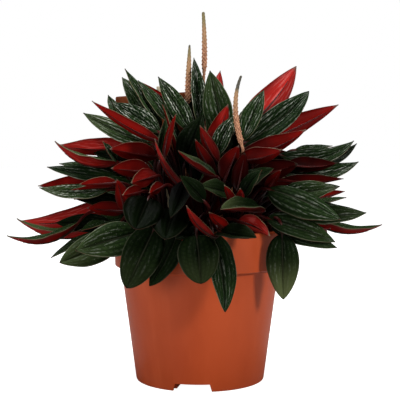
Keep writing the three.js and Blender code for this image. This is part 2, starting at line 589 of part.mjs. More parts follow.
// Rings of four points up the stalk, then rings of six across the folded blade: left to right above, back
// below. The stalk's first rings are left out where asked.
function leafSolid(shape, stations, grow, skipped = 0) {
  const verts = [];
  const tris = [];
  const stalk = new THREE.CubicBezierCurve3(...shape.stalk);
  const rings = [];
  let side = shape.start.clone().cross(across(shape.face, shape.start)).normalize();
  for (let i = STALK_STEPS; i >= skipped; i--) {
    const ahead = stalk.getTangent(i / STALK_STEPS);
    side = across(side, ahead);
    const up = side.clone().cross(ahead);
    rings.unshift({ p: stalk.getPoint(i / STALK_STEPS), side: side.clone(), up });
  }
  rings.forEach(({ p, side: s, up }, i) => {
    const r = (i === 0 && !skipped ? PETIOLE.rootRadius : PETIOLE.radius) + grow;
    for (const [a, b] of [[-1, 1], [1, 1], [1, -1], [-1, -1]])
      verts.push(p.clone().addScaledVector(s, r * a).addScaledVector(up, r * b));
  });
  for (let i = 0; i + 1 < rings.length; i++)
    for (let k = 0; k < 4; k++) {
      const a = i * 4 + k;
      const b = i * 4 + ((k + 1) % 4);
      tris.push([a, b, b + 4], [a, b + 4, a + 4]);
    }
  tris.push([0, 2, 1], [0, 3, 2]);
  const neck = verts.length - 4;
  const blade = verts.length;
  for (const t of stations) verts.push(...bladeRing(shape, t, grow));
  for (const [a, b, c] of NECK_FACES) tris.push([a, b, c].map((k) => (k < 4 ? neck + k : blade + k - 4)));
  for (let i = 0; i + 1 < stations.length; i++)
    for (let k = 0; k < 6; k++) {
      const a = blade + i * 6 + k;
      const b = blade + i * 6 + ((k + 1) % 6);
      if (k === 3 || k === 4) tris.push([a, b, a + 6], [b, b + 6, a + 6]);
      else tris.push([a, b, b + 6], [a, b + 6, a + 6]);
    }
  const last = verts.length - 6;
  for (const face of TIP_FACES) tris.push(face.map((k) => last + k));
  return solidFromArrays(verts, tris);
}

// Faces between the stalk's last four points, 0 to 3, and the blade's first six, 4 to 9
const NECK_FACES = [
  [0, 5, 4],
  [0, 1, 5],
  [1, 6, 5],
  [1, 2, 7],
  [1, 7, 6],
  [2, 8, 7],
  [2, 3, 8],
  [3, 9, 8],
  [3, 0, 4],
  [3, 4, 9],
];

// Faces that close the blade's last six points
const TIP_FACES = [
  [0, 1, 4],
  [0, 4, 5],
  [1, 2, 3],
  [1, 3, 4],
];

// Six points across the blade at t, folded up from the midrib
function bladeRing(shape, t, grow) {
  const midrib = new THREE.QuadraticBezierCurve3(shape.neck, shape.bend, shape.tip);
  const phi = radians(shape.fold);
  const half = BLADE.thick / 2 + grow;
  const p = midrib.getPoint(t);
  const ahead = midrib.getTangent(t);
  if (t === 1) p.addScaledVector(ahead, grow);
  const up = across(shape.face, ahead);
  const s = ahead.clone().cross(up);
  const w = Math.max((shape.width / 2) * outlineOf(t, shape.fullness), BLADE.tipHalf) + grow;
  const [flat, raised] = [w * Math.cos(phi), w * Math.sin(phi)];
  const point = (u, h) =>
    p.clone().addScaledVector(s, u * flat).addScaledVector(up, Math.abs(u) * raised + h);
  const above = [-1, 0, 1].map((u) => point(u, half));
  const below = [1, 0, -1].map((u) => point(u, -half));
  return [...above, ...below];
}

// The hidden leaves of one set of rows, evenly spread round an arc about the back with seeded changes
function rowLeaves(rows, spread, random) {
  const leaves = [];
  const vary = (amount) => (random() * 2 - 1) * amount;
  rows.forEach((row, k) => {
    const step = spread / row.count;
    for (let i = 0; i < row.count; i++) {
      const place = step * (i + 0.5 + ROW_LEAF.stagger * (k % 2));
      const angle = radians(90 - spread / 2 + place + vary(JITTER.angle));
      const swing = angle + vary(JITTER.swing);
      const tipRadius = row.tipRadius + vary(JITTER.radius);
      const tipZ = row.tipZ + vary(JITTER.height);
      const width = row.width + vary(JITTER.width);
      leaves.push({
        seen: false,
        tip: vec(tipRadius * Math.cos(angle), tipRadius * Math.sin(angle), tipZ),
        neck: vec(row.neckRadius * Math.cos(swing), row.neckRadius * Math.sin(swing), row.neckZ),
        turn: vary(JITTER.roll),
        arc: row.arc + ROW_LEAF.moreArc,
        blade: { width, fold: ROW_LEAF.fold, fullness: ROW_LEAF.fullness },
      });
    }
  });
  return leaves;
}

// Crowns whose stems stand nearest below a leaf's neck
function nearCrowns(neck) {
  const far = CROWNS.map((c) => Math.hypot(c.x - neck.x * CROWN_REACH, c.y - neck.y * CROWN_REACH));
  const order = CROWNS.map((c, i) => i).sort((a, b) => far[a] - far[b]);
  return order.slice(0, NEAR_CROWNS);
}

const boxesMeet = (a, b) => [0, 1, 2].every((k) => a.min[k] < b.max[k] && b.min[k] < a.max[k]);

function crosses(solid, others) {
  const box = solid.boundingBox();
  return others.some((o) => boxesMeet(box, o.box) && solid.intersect(o.solid).volume() > 0);
}

// Each leaf takes the first place where it is clear of what stands there already, or else crosses only
// leaves of its own crown, with which it is fused. A leaf that has no such place is left out.
function placeLeaves(leaves, fixed) {
  const taken = [];
  for (const leaf of leaves) {
    const choice = placeOf(leaf, fixed, taken);
    if (choice) taken.push(choice);
  }
  return taken;
}

function placeOf(leaf, fixed, taken) {
  const stations = leaf.seen ? STATIONS.seen : STATIONS.hidden;
  let fused = null;
  for (const shift of SHIFTS)
    for (const crown of nearCrowns(leafEnds(leaf, 0).neck)) {
      const others = [...fixed, ...taken.filter((t) => t.crown !== crown)];
      const outers = taken.filter((t) => t.crown === crown).map((t) => t.outer);
      for (const lift of LIFTS) {
        const shape = leafShape(leaf, shift, crown, lift);
        if (crosses(leafSolid(shape, stations, CLEAR), others)) continue;
        const clean = !crosses(leafSolid(shape, stations, CLEAR / 3, 1), outers);
        if (clean) return standing(shape, stations, crown);
        fused = fused ?? standing(shape, stations, crown);
      }
    }
  return fused;
}

// A placed leaf with its box, and the same for its outer part alone, without the stalk's root
function standing(shape, stations, crown) {
  const outer = leafSolid(shape, stations, 0, 1);
  return { crown, ...boxed(leafSolid(shape, stations, 0)), outer: boxed(outer) };
}

const boxed = (solid) => ({ solid, box: solid.boundingBox() });

// A crown: a short leafy stem out of the soil with the leaves that it carries
function crownSolid(index, taken) {
  const { x, y } = CROWNS[index];
  const heights = [-STEM.sunk, 2, STEM.rise - STEM.shoulder, STEM.rise].map((h) => vec(x, y, SOIL.top + h));
  const radii = STEM.shares.map((share) => share * STEM.radius);
  const stem = tube(heights, radii, STEM.sides);
  const own = taken.filter((t) => t.crown === index).map((t) => t.solid);
  return wasm.Manifold.union([stem, ...own]);
}

const random = sequence(JITTER.seed);
const shown = LEAVES.map(([, tipX, tipZ, tipY, neckX, neckZ, neckY, width, turn, fold, arc, fullness]) => ({
  seen: true,
  tip: [tipX, tipZ, tipY],
  neck: [neckX, neckZ, neckY],
  turn,
  arc,
  blade: { width, fold, fullness },
}));
const hidden = [
  ...rowLeaves(BACK_ROWS, BACK_SPREAD, random),
  ...rowLeaves(INNER_ROWS, INNER_SPREAD, random),
  ...rowLeaves(CORE_ROWS, CORE_SPREAD, random),
];

const pot = potSolid();
const soil = soilSolid();
const card = cardSolid();
const stake = stakeSolid();
const spikes = SPIKES.map(spikeSolid);
const taken = placeLeaves([...shown, ...hidden], [pot, soil, card, stake, ...spikes].map(boxed));

const peperomia = new THREE.Group();
peperomia.name = "potted_peperomia";
peperomia.add(meshFromSolid("pot", pot, COLOURS.pot));
peperomia.add(meshFromSolid("soil", soil, COLOURS.soil));
CROWNS.forEach((c, i) => peperomia.add(meshFromSolid(c.name, crownSolid(i, taken), COLOURS.leaf)));
SPIKES.forEach((s, i) => peperomia.add(meshFromSolid(s.name, spikes[i], COLOURS.spike)));
peperomia.add(meshFromSolid("label_card", card, COLOURS.card));
peperomia.add(meshFromSolid("label_stake", stake, COLOURS.stake));

export default peperomia;
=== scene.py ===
"""Looks of a potted peperomia: a mound of ribbed leaves, green above and crimson below, in a nursery pot."""

import logging
import math
from collections.abc import Callable
from dataclasses import dataclass, field
from enum import Enum

import bpy
import numpy as np
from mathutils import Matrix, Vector, kdtree


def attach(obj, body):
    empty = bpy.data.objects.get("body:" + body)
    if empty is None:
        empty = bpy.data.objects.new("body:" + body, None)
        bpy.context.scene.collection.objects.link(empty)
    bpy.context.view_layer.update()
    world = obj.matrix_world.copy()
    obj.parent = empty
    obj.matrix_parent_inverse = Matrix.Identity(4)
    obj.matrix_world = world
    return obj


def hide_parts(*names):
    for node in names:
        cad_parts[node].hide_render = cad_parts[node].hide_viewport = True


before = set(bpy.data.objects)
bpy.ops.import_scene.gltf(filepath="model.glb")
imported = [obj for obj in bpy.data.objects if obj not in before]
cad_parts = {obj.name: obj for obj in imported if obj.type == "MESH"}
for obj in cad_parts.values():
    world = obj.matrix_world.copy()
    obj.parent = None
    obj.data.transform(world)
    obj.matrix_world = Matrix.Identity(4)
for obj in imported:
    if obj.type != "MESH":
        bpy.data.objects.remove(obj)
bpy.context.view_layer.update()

MM = 0.001
BODY = "root"
MERGE = 2e-6
FULL_TURN = 2 * math.pi
SIDEWAYS = np.array([1.0, 0, 0])
LOG = logging.getLogger("peperomia")
Material = bpy.types.Material
Piece = bpy.types.Object
Socket = bpy.types.NodeSocket
Colour = tuple[float, float, float]
Place = tuple[float, float, float]
Pair = tuple[np.ndarray, np.ndarray]


class Layer(Enum):
    """Material slots of a leafy crown, in their order on the mesh."""

    UPPER = 0
    UNDER = 1
    MARGIN = 2
    STALK = 3


# Leaves told apart from the front. Each has its tip and its neck as x, z on the plane of the pot's axis and
# depth, then width and turn of the upper face from the viewer, and fold, arc and fullness where they aren't
# those of a plain leaf, in millimetres and degrees.
LEAVES: list[tuple] = [
    # crown of the mound
    ("A", -4.3, 223.5, 20, 0, 176, 2, 13, 25, 30),
    ("B", 6.9, 214.7, 4, 18, 168, -6, 22, 12),
    ("ZZ", 24.5, 184, -4, 11, 155, -14, 14, 22, 22, 0.03),
    ("C", 14, 214.7, 22, 10, 180, 12, 14, 165, 25),
    ("D", -29, 210.5, 14, -6, 172, 0, 16, 20),
    ("E", -54, 210, 30, -30, 174, 10, 20, 30),
    ("F", -52, 216, 20, -27, 176, 4, 14, 52, 30, -0.03),
    ("G", -43, 208, 16, -21, 178, 2, 12, 34, 25),
    ("G2", -42.8, 207.7, 26, -9, 185.5, 16, 5, 165),
    ("H", -63.7, 197.8, 30, -56, 175, 12, 13, 40, 25),
    ("I", -61, 192.8, 10, -28.5, 172, -2, 17, 30),
    ("J", -75, 193.8, -8, -27, 165, -14, 11, 145, 28, -0.045),
    ("K", -81, 185.5, -2, -33, 164, -10, 18, 34, 22, -0.05),
    ("L", -70, 174, 20, -50, 164, 10, 9, 60, 25),
    ("TT", 66.6, 217.8, 36, 27, 172, 8, 24.5, 165, 18, -0.055, 0.85),
    ("UU", 44.3, 201.3, 6, 29.5, 166, -12, 16, 20, 25),
    ("VV", 75.5, 200.5, 10, 31, 164.5, -10, 19, 22, 24, -0.05, 0.8),
    ("QQ", 96, 191.2, 24, 37.5, 163, 2, 18.5, 155, 25, -0.02),
    ("RR", 73.5, 174, -10, 28, 156, -22, 17, 150, 28, -0.07),
    # left side
    ("M", -97.4, 163.5, -5, -50, 163, 0, 16, 150, 25, -0.06),
    ("P", -100.9, 166, -15, -57, 151, -10, 17, 86, 42, -0.18),
    ("M2", -68, 166, 2, -35.5, 158, 4, 11, 158, 25),
    ("N", -63, 160.5, -25, -30, 155, -18, 16, 155),
    ("O", -67.5, 165.5, -30, -58, 152, -18, 7, 30, 32),
    ("Q", -98, 150.3, 8, -58, 146, 2, 13, 55, 25, -0.03),
    ("R", -106.5, 148, -2, -55, 139.5, -8, 17, 48, 25, -0.04),
    ("S1", -113, 134.8, -6, -66, 138.5, -6, 13, 155, 25, -0.02),
    ("S2", -112, 133.5, -16, -64, 132, -18, 15, 42, 20, -0.07),
    ("T", -90, 132, -26, -56, 135.5, -22, 11, 72, 40),
    ("U", -89, 126.5, -18, -51, 121, -14, 15, 42),
    ("V0", -126, 110.5, -8, -64, 125, 0, 16, 150, 25, -0.12),
    ("V", -128, 112, -14, -62, 111, -10, 18, 76, 42, -0.2),
    ("W", -135, 100, -27, -85, 109, -20, 15, 78, 40, -0.19),
    ("X", -99, 98, 6, -60, 98, 0, 11, 60, 25, -0.02),
    ("Y", -98.3, 81, -58, -60, 99, -26, 23, 16, 12, -0.03, 0.8),
    ("Z", -104.5, 84.3, -36, -70, 102, -20, 11, 55, 25),
    ("AA", -87, 89.5, -68, -41, 103, -46, 24, 12, 8, 0, 0.95),
    ("r1", -62, 147, -38, -34, 144.5, -36, 15, 155, 25),
    ("r2", -48, 137, -58, -30, 142, -42, 14, 160, 25),
    ("r3", -58, 139.5, -42, -52, 118, -50, 12, 160, 25),
    ("r4", -54, 128.5, -62, -40, 131, -50, 10, 150, 25),
    ("r5", -35.5, 129.8, -68, -25, 135, -56, 9, 150, 25),
    ("r6", -79, 119.4, -30, -53, 117, -30, 12, 155, 25),
    ("r7", -84, 136, -24, -58, 137, -24, 9, 150, 25),
    # lower front, hanging over the rim
    ("BB", -51.5, 63, -68, -32, 105, -60, 27, 5, 8, 0, 0.62),
    ("CC", -35.5, 64.5, -60, -16, 101, -58, 19, 30, 15, -0.05, 0.8),
    ("DD", 0.8, 66, -78, -2.5, 100.5, -72, 28, 8, 10, 0, 0.6),
    ("EE", 17.5, 46, -72, 9, 101, -64, 20, 25, 22, 0.03, 0.8),
    ("FF", 58.5, 55, -48, 57.5, 101, -50, 23.5, 8, 12, 0, 0.8),
    ("hh", -45, 104.5, -94, -36, 126, -60, 28, 8, 14, 0, 0.65),
    ("ii", -24.5, 97.5, -95, -19, 118, -62, 25, 8, 14, 0, 0.7),
    ("jj", -20.5, 112.5, -90, -10, 138, -54, 15, 25, 25, -0.03, 0.9),
    ("kk", -9.5, 121, -86, 10.5, 98.5, -72, 9, 150, 25, -0.08),
    ("ll", 6.3, 116.5, -82, 20, 104, -70, 9, 140, 25, -0.05),
    ("mm", 14.5, 118.5, -90, 43, 117.5, -56, 19, 64, 38, 0, 0.8),
    ("nn", 39.5, 98.6, -92, 14, 102.5, -64, 18, 50, 32, -0.04, 0.8),
    ("nn2", 48.7, 100, -82, 27, 110, -60, 13, 140, 25, 0.05, 0.9),
    # right side
    ("GG1", 94.5, 95.5, -52, 47, 112, -46, 18, 30, 18, 0.01, 0.9),
    ("GG2", 95.8, 91.5, -60, 50, 107, -46, 15.5, 35, 18, -0.03, 0.9),
    ("HH", 98, 111.5, -58, 47, 132.5, -40, 23, 32, -12, 0.03, 0.9),
    ("II", 116.2, 116, -12, 62, 117, -12, 23, 45, 20, -0.06),
    ("JJ", 127.3, 107.8, 17, 78, 111.5, 8, 16, 76, 40, -0.15),
    ("KK", 91.5, 105, 10, 69, 107.6, 0, 8, 150, 25),
    ("LL", 101, 131, 30, 74, 124, 14, 9, 140, 25),
    ("LL2", 102, 126.7, 24, 78, 121, 8, 8, 60, 25),
    ("MM", 94.5, 134, -30, 56, 128, -24, 17, 28, 18, -0.02, 0.9),
    ("MM2", 97.5, 134.5, -12, 60, 127.5, -8, 15, 40, 18, -0.02, 0.9),
    ("NN", 100, 139.8, -10, 57, 139, -14, 10, 140, 25, -0.03),
    ("OO", 110.3, 151.6, -6, 56, 145, -14, 19, 40, 22, -0.11),
    ("PP", 107, 166.2, 8, 55, 156.5, -4, 17, 42, 22, -0.15),
    ("PP2", 109, 164.3, 16, 62, 151, 6, 16, 45, 22, -0.15),
    ("PP3", 92, 162.7, 22, 66, 159.7, 12, 9, 60, 22, -0.03),
    ("OO2", 95.5, 150.8, 4, 60, 150.5, -4, 13, 150, 25, -0.06),
    ("SS", 57, 160, -44, 26, 153, -28, 15, 150, 28, -0.06),
    # centre
    ("WW", 19.5, 191.5, -14, 8, 154, -22, 16, 160, 25),
    ("XX", 0, 177, -22, 13, 150, -28, 11, 152, 26, -0.05),
    ("YY", -3.5, 167.5, -32, 11, 141, -36, 10, 155, 28, -0.04),
    ("aa", -24, 182.3, -12, -28.5, 152, -18, 10, 30, 28),
    ("bb", -16.5, 185, -16, -25, 154, -22, 9, 150, 28, -0.05),
    ("cc", 1.5, 184, -6, -11, 150, -14, 19, 20),
    ("dd", -31.5, 167.8, -42, 3, 124, -52, 9, 148, 30, -0.13),
    ("ee", -15.3, 159.5, -46, 11, 141.5, -50, 13, 72, 45, -0.08),
    ("ff", -14, 142, -60, 3, 124, -54, 13, 30, 25),
    ("gg", 0, 135, -70, 20, 129, -50, 15, 40, 25),
    ("oo", 27, 163, -32, 17, 139, -38, 16, 160, 25),
    ("pp", 29, 144.5, -46, 15, 137, -40, 9, 150, 25),
    ("qq", 17, 135.4, -72, 24, 120, -64, 7, 150, 28),
    ("rr", 28, 133, -74, 29.5, 120, -64, 8, 150, 28),
    ("ss1", 51.5, 147, -40, 28, 131, -42, 15, 42, 25, 0.04),
    ("ss2", 43, 146, -50, 30, 126, -48, 13, 40, 25, 0.04),
    ("tt", 56.5, 146, -48, 46, 132, -40, 8, 150, 25),
    # dark ones between the others, their darkness painted shade
    ("i1", 64, 141, 14, 26, 132, 8, 21, 150, 15, 0, 0.8),
    ("i2", 62, 158, 18, 24, 144, 12, 20, 150, 15, 0, 0.8),
    ("i3", 66, 118, 10, 30, 116, 4, 20, 150, 15, 0, 0.8),
    ("i4", 26, 152, 8, 20, 122, 6, 20, 150, 15, 0, 0.8),
    ("i5", 4, 184, 26, 4, 150, 16, 20, 150, 15, 0, 0.8),
    ("i6", -46, 140, 10, -24, 120, 6, 19, 150, 15, 0, 0.8),
    ("i7", 31, 158, -40, 26, 132, -42, 13, 150, 15, 0, 0.8),
    ("i8", 68, 150, 2, 34, 140, -2, 19, 150, 15, 0, 0.8),
    ("i9", -74, 150, 8, -40, 138, 2, 20, 150, 15, 0, 0.8),
]

# Small leaves of the same form behind slits between the others, and one over the rim, painted dark as shade.
DEEP_LEAVES = (
    (-6.5, 199, 16, -4, 158, 8, 12, 0),
    (28, 175, -4, 20, 148, -8, 13, 0),
    (-7, 166, 4, -2, 138, 0, 13, 0),
    (-74, 158, 0, -48, 152, -4, 12, 0),
    (-101, 109, -14, -62, 109, -18, 14, 0),
    (66, 156, 0, 46, 150, -4, 10, 0),
    (-17, 98, -72, -4, 108, -62, 13, 10, 15, 0, 0.8),
)


@dataclass(frozen=True)
class LeafLook:
    """How one leaf stands apart: painted shade at the neck, silvery streaks with painted sheen and glints,
    olive tip above and painted light below, and added width in millimetres.
    """

    shade: float = 0.0
    sheen: float | None = None
    pale: float = 0.0
    fuller: float = 0.0


# Each leaf told apart by name: painted shade at the neck, sheen, olive tip with painted light below, and
# width.
LOOKS = {name: LeafLook(*look) for name, look in {
    "A": (0.0, 1.4, 0.0, 1.0), "B": (0.25, 0.4, 0.1), "C": (0.0, None, 0.9), "D": (0.0, 1.6),
    "E": (0.1, 0.8), "K": (0.0, 0.7, 0.15), "I": (0.0, 1.3), "ZZ": (0.0, 1.4), "UU": (0.1, 0.9),
    "VV": (0.35, 0.8, 0.0, 2.5), "TT": (0.0, None, 1.0), "M": (0.0, None, 0.5), "P": (0.0, None, 0.3),
    "V0": (0.0, None, 0.9), "V": (0.0, None, 0.2), "WW": (0.0, None, 0.15), "QQ": (0.3,), "RR": (0.6,),
    "SS": (0.3,), "dd": (0.0, None, 0.6, -2.0), "ee": (0.1, 0.2, 0.4), "XX": (0.0, None, 0.15),
    "YY": (0.15,), "oo": (0.5,), "pp": (0.5,), "bb": (0.25, None, 0.0, -2.5), "aa": (0.55, 0.3),
    "cc": (0.85, 0.2, 0.0, 2.0), "ff": (0.78,), "gg": (0.5, None, 0.1), "hh": (0.94, 0.1),
    "ii": (0.97, 0.0), "jj": (1.0, 0.0), "mm": (0.6, 0.1, 0.3), "nn": (0.9, 0.1, 0.1),
    "kk": (0.2, None, 0.2, -2.0), "nn2": (0.0, None, 0.6), "ss1": (0.6,), "ss2": (0.6,), "tt": (0.5,),
    "r1": (0.3,), "r2": (0.0, None, 0.1), "r3": (0.4,), "r4": (0.45,), "r5": (0.3,), "r6": (0.6,),
    "N": (0.15,), "AA": (0.15, 0.35, 0.1), "BB": (0.66, 0.12, 0.13), "CC": (0.75,), "DD": (0.7, 0.08, 0.26),
    "EE": (0.5, 0.35), "FF": (0.55, 0.2, 0.75), "GG1": (0.5, 0.3, 0.05), "GG2": (0.5, 0.3, 0.05),
    "HH": (0.5, 0.5), "II": (0.55, 0.45, 0.1), "MM": (0.3, 0.5, 0.1), "MM2": (0.3,), "NN": (0.75,),
    "OO2": (0.85,), "PP": (0.6, 0.7), "PP2": (0.85,), "OO": (0.35, 0.7), "Q": (0.5,), "R": (0.55, 0.4),
    "S2": (0.0, 1.0, 0.1), "T": (0.2,), "U": (0.9, 0.2), "X": (0.3,), "Y": (0.35, 0.2, 0.25),
    "Z": (0.2, 0.4, 0.1),
}.items()}
# The dark filler leaves get painted shade and little sheen.
FILLERS = LeafLook(0.85, 0.2)


def leaf_look(name: str) -> LeafLook:
    """Finds a leaf's look: its own, the painted shade of the dark ones behind the others, or the plain one.
    """
    return LOOKS.get(name, FILLERS if name[0] == "i" and name[1:].isdigit() else LeafLook())


@dataclass(frozen=True)
class LeafRow:
    """A ring or arc of leaves that the front view hides, in millimetres."""

    tip_radius: float
    tip_z: float
    neck_radius: float
    neck_z: float
    count: int
    width: float
    arc: float = 0.0


# Rows at the back, inside and low down, each group with the degrees of the circle that it covers.
ROWS = (
    (150.0, (
        LeafRow(96, 96, 72, 112, 7, 19, 0.05), LeafRow(102, 124, 68, 122, 8, 17),
        LeafRow(96, 152, 60, 138, 7, 17), LeafRow(92, 180, 46, 152, 6, 17), LeafRow(62, 204, 28, 162, 4, 17),
    )),
    (240.0, (
        LeafRow(30, 186, 14, 138, 5, 23), LeafRow(82, 118, 44, 122, 6, 21), LeafRow(70, 144, 34, 128, 7, 21),
        LeafRow(46, 166, 20, 132, 7, 21),
    )),
    (360.0, (LeafRow(34, 146, 18, 110, 8, 24),)),
)


@dataclass(frozen=True)
class Habit:
    """How the plant grows: its crowns, and how stalks and blades run, in millimetres and degrees."""

    eye: Place = (0.0, -740.0, 174.0)
    soil_top: float = 93.0
    rim_z: float = 106.0
    ring_crowns: int = 8
    crown_ring: float = 29.0
    middle_y: float = 2.0
    row_fold: float = 22.0
    row_fullness: float = 0.9
    row_more_arc: float = 0.03
    row_stagger: float = 0.25
    seed: int = 4711
    vary_angle: float = 7.0
    vary_swing: float = 0.12
    vary_radius: float = 7.0
    vary_height: float = 6.0
    vary_width: float = 2.0
    vary_roll: float = 24.0
    shifts: tuple[float, ...] = (0, 4, -4, 8, -8, 12, -12, 17, -17, 23, -23)
    lifts: tuple[float, ...] = (0, 8, -6, 16)
    root_out: float = 2.2
    first_root: float = 4.0
    last_root: float = 20.0
    low_neck: float = 98.0
    high_neck: float = 178.0
    rise_least: float = 10.0
    rise_share: float = 0.45
    lean_least: float = 8.0
    lean_share: float = 0.3
    run_in: float = 0.3
    run_in_reach: float = 20.0
    over_rim: float = 12.0
    arch_share: float = 0.7
    lift_share: float = 0.3
    seen_lean: float = 0.6
    hidden_lean: float = 0.5
    plate_half: float = 0.45
    tip_half: float = 0.45
    widest: float = 0.4
    tolerance: float = 0.05


HABIT = Habit()
EYE = np.array(HABIT.eye)
TURNS = [i / HABIT.ring_crowns * FULL_TURN - FULL_TURN / 4 for i in range(HABIT.ring_crowns)]
STEMS = [np.array([0.0, HABIT.middle_y])]
STEMS += [HABIT.crown_ring * np.array([math.cos(turn), math.sin(turn)]) for turn in TURNS]
CROWNS = ["crown_middle"] + [f"crown_{i + 1}" for i in range(HABIT.ring_crowns)]


def unit(v: np.ndarray) -> np.ndarray:
    """Scales one vector, or several in rows, to length one."""
    return v / np.linalg.norm(v, axis=-1, keepdims=True)


def across(v: np.ndarray, axis: np.ndarray) -> np.ndarray:
    """Takes the part of a direction that lies across an axis of length one, and gives it length one."""
    return unit(v - (v * axis).sum(-1, keepdims=True) * axis)


def placed(x: float, z: float, depth: float) -> np.ndarray:
    """Finds a point seen at x, z on the plane of the pot's axis and lying behind it by a depth."""
    return EYE + (np.array([x, 0.0, z]) - EYE) * ((depth - EYE[1]) / -EYE[1])


def ramp(values: np.ndarray, start: float, length: float) -> np.ndarray:
    """Goes from 0 to 1 as the values go from the start over the length."""
    return np.clip((values - start) / length, 0, 1)


class Sequence:
    """A seeded sequence of numbers between 0 and 1."""

    FACTOR = 16807
    MODULUS = 2147483647

    def __init__(self, seed: int) -> None:
        """Starts the sequence at a seed."""
        self.state = seed

    def next(self) -> float:
        """Draws the next number."""
        self.state = (self.state * self.FACTOR) % self.MODULUS
        return self.state / self.MODULUS

    def vary(self, amount: float) -> float:
        """Draws a number between minus and plus the amount."""
        return (self.next() * 2 - 1) * amount


@dataclass
class Leaf:
    """One leaf before its place is settled, in millimetres and degrees."""

    name: str
    seen: bool
    tip: np.ndarray
    neck: np.ndarray
    width: float
    turn: float
    fold: float = 22.0
    arc: float = 0.0
    fullness: float = 1.0

    def ends(self, shift: float) -> Pair:
        """Gives tip and neck for one shift: along the sight line for a seen leaf, upwards for a hidden one.

        Args:
            shift: how far the leaf moves.

        Returns:
            The tip and the neck.
        """
        if self.seen:
            return tuple(placed(p[0], p[1], p[2] + shift) for p in (self.tip, self.neck))
        return self.tip + np.array([0, 0, shift]), self.neck + np.array([0, 0, shift / 2])


def seen_leaf(name: str, row: tuple[float, ...]) -> Leaf:
    """Reads a seen leaf from its row of numbers: tip, neck, then the rest."""
    return Leaf(name, True, np.array(row[:3], float), np.array(row[3:6], float), *row[6:])


def row_leaves(rows: tuple[LeafRow, ...], spread: float, draws: Sequence) -> list[Leaf]:
    """Spreads hidden leaves round an arc about the back, with seeded changes.

    Args:
        rows: the rows.
        spread: degrees of the circle that they cover.
        draws: the sequence of changes.

    Returns:
        The leaves in order.
    """
    h, leaves = HABIT, []
    for k, row in enumerate(rows):
        step = spread / row.count
        for i in range(row.count):
            place = step * (i + 0.5 + h.row_stagger * (k % 2))
            angle = math.radians(90 - spread / 2 + place + draws.vary(h.vary_angle))
            swing = angle + draws.vary(h.vary_swing)
            reach = row.tip_radius + draws.vary(h.vary_radius)
            height = row.tip_z + draws.vary(h.vary_height)
            width = row.width + draws.vary(h.vary_width)
            tip = np.array([reach * math.cos(angle), reach * math.sin(angle), height])
            in_reach = row.neck_radius
            neck = np.array([in_reach * math.cos(swing), in_reach * math.sin(swing), row.neck_z])
            rest = (width, draws.vary(h.vary_roll), h.row_fold, row.arc + h.row_more_arc, h.row_fullness)
            leaves.append(Leaf("hidden", False, tip, neck, *rest))
    return leaves


def all_leaves() -> list[Leaf]:
    """Lists every leaf of the plant: those told apart first, then the rows at the back, inside and low down.

    Returns:
        The leaves in order.
    """
    draws = Sequence(HABIT.seed)
    hidden = [leaf for spread, rows in ROWS for leaf in row_leaves(rows, spread, draws)]
    return [seen_leaf(row[0], row[1:]) for row in LEAVES] + hidden


def bezier(points: list[np.ndarray], t: np.ndarray) -> np.ndarray:
    """Evaluates a Bezier curve of two or three legs.

    Args:
        points: its three or four control points.
        t: places along it from 0 to 1.

    Returns:
        One point for each place.
    """
    t = np.atleast_1d(t)[:, None]
    n = len(points) - 1
    return sum(math.comb(n, k) * t**k * (1 - t) ** (n - k) * p for k, p in enumerate(points))


def heading(points: list[np.ndarray], t: np.ndarray) -> np.ndarray:
    """Gives a Bezier curve's direction.

    Args:
        points: its control points.
        t: places along it from 0 to 1.

    Returns:
        One direction of length one for each place.
    """
    small = 1e-4
    t = np.atleast_1d(t).astype(float)
    return unit(bezier(points, np.minimum(t + small, 1)) - bezier(points, np.maximum(t - small, 0)))


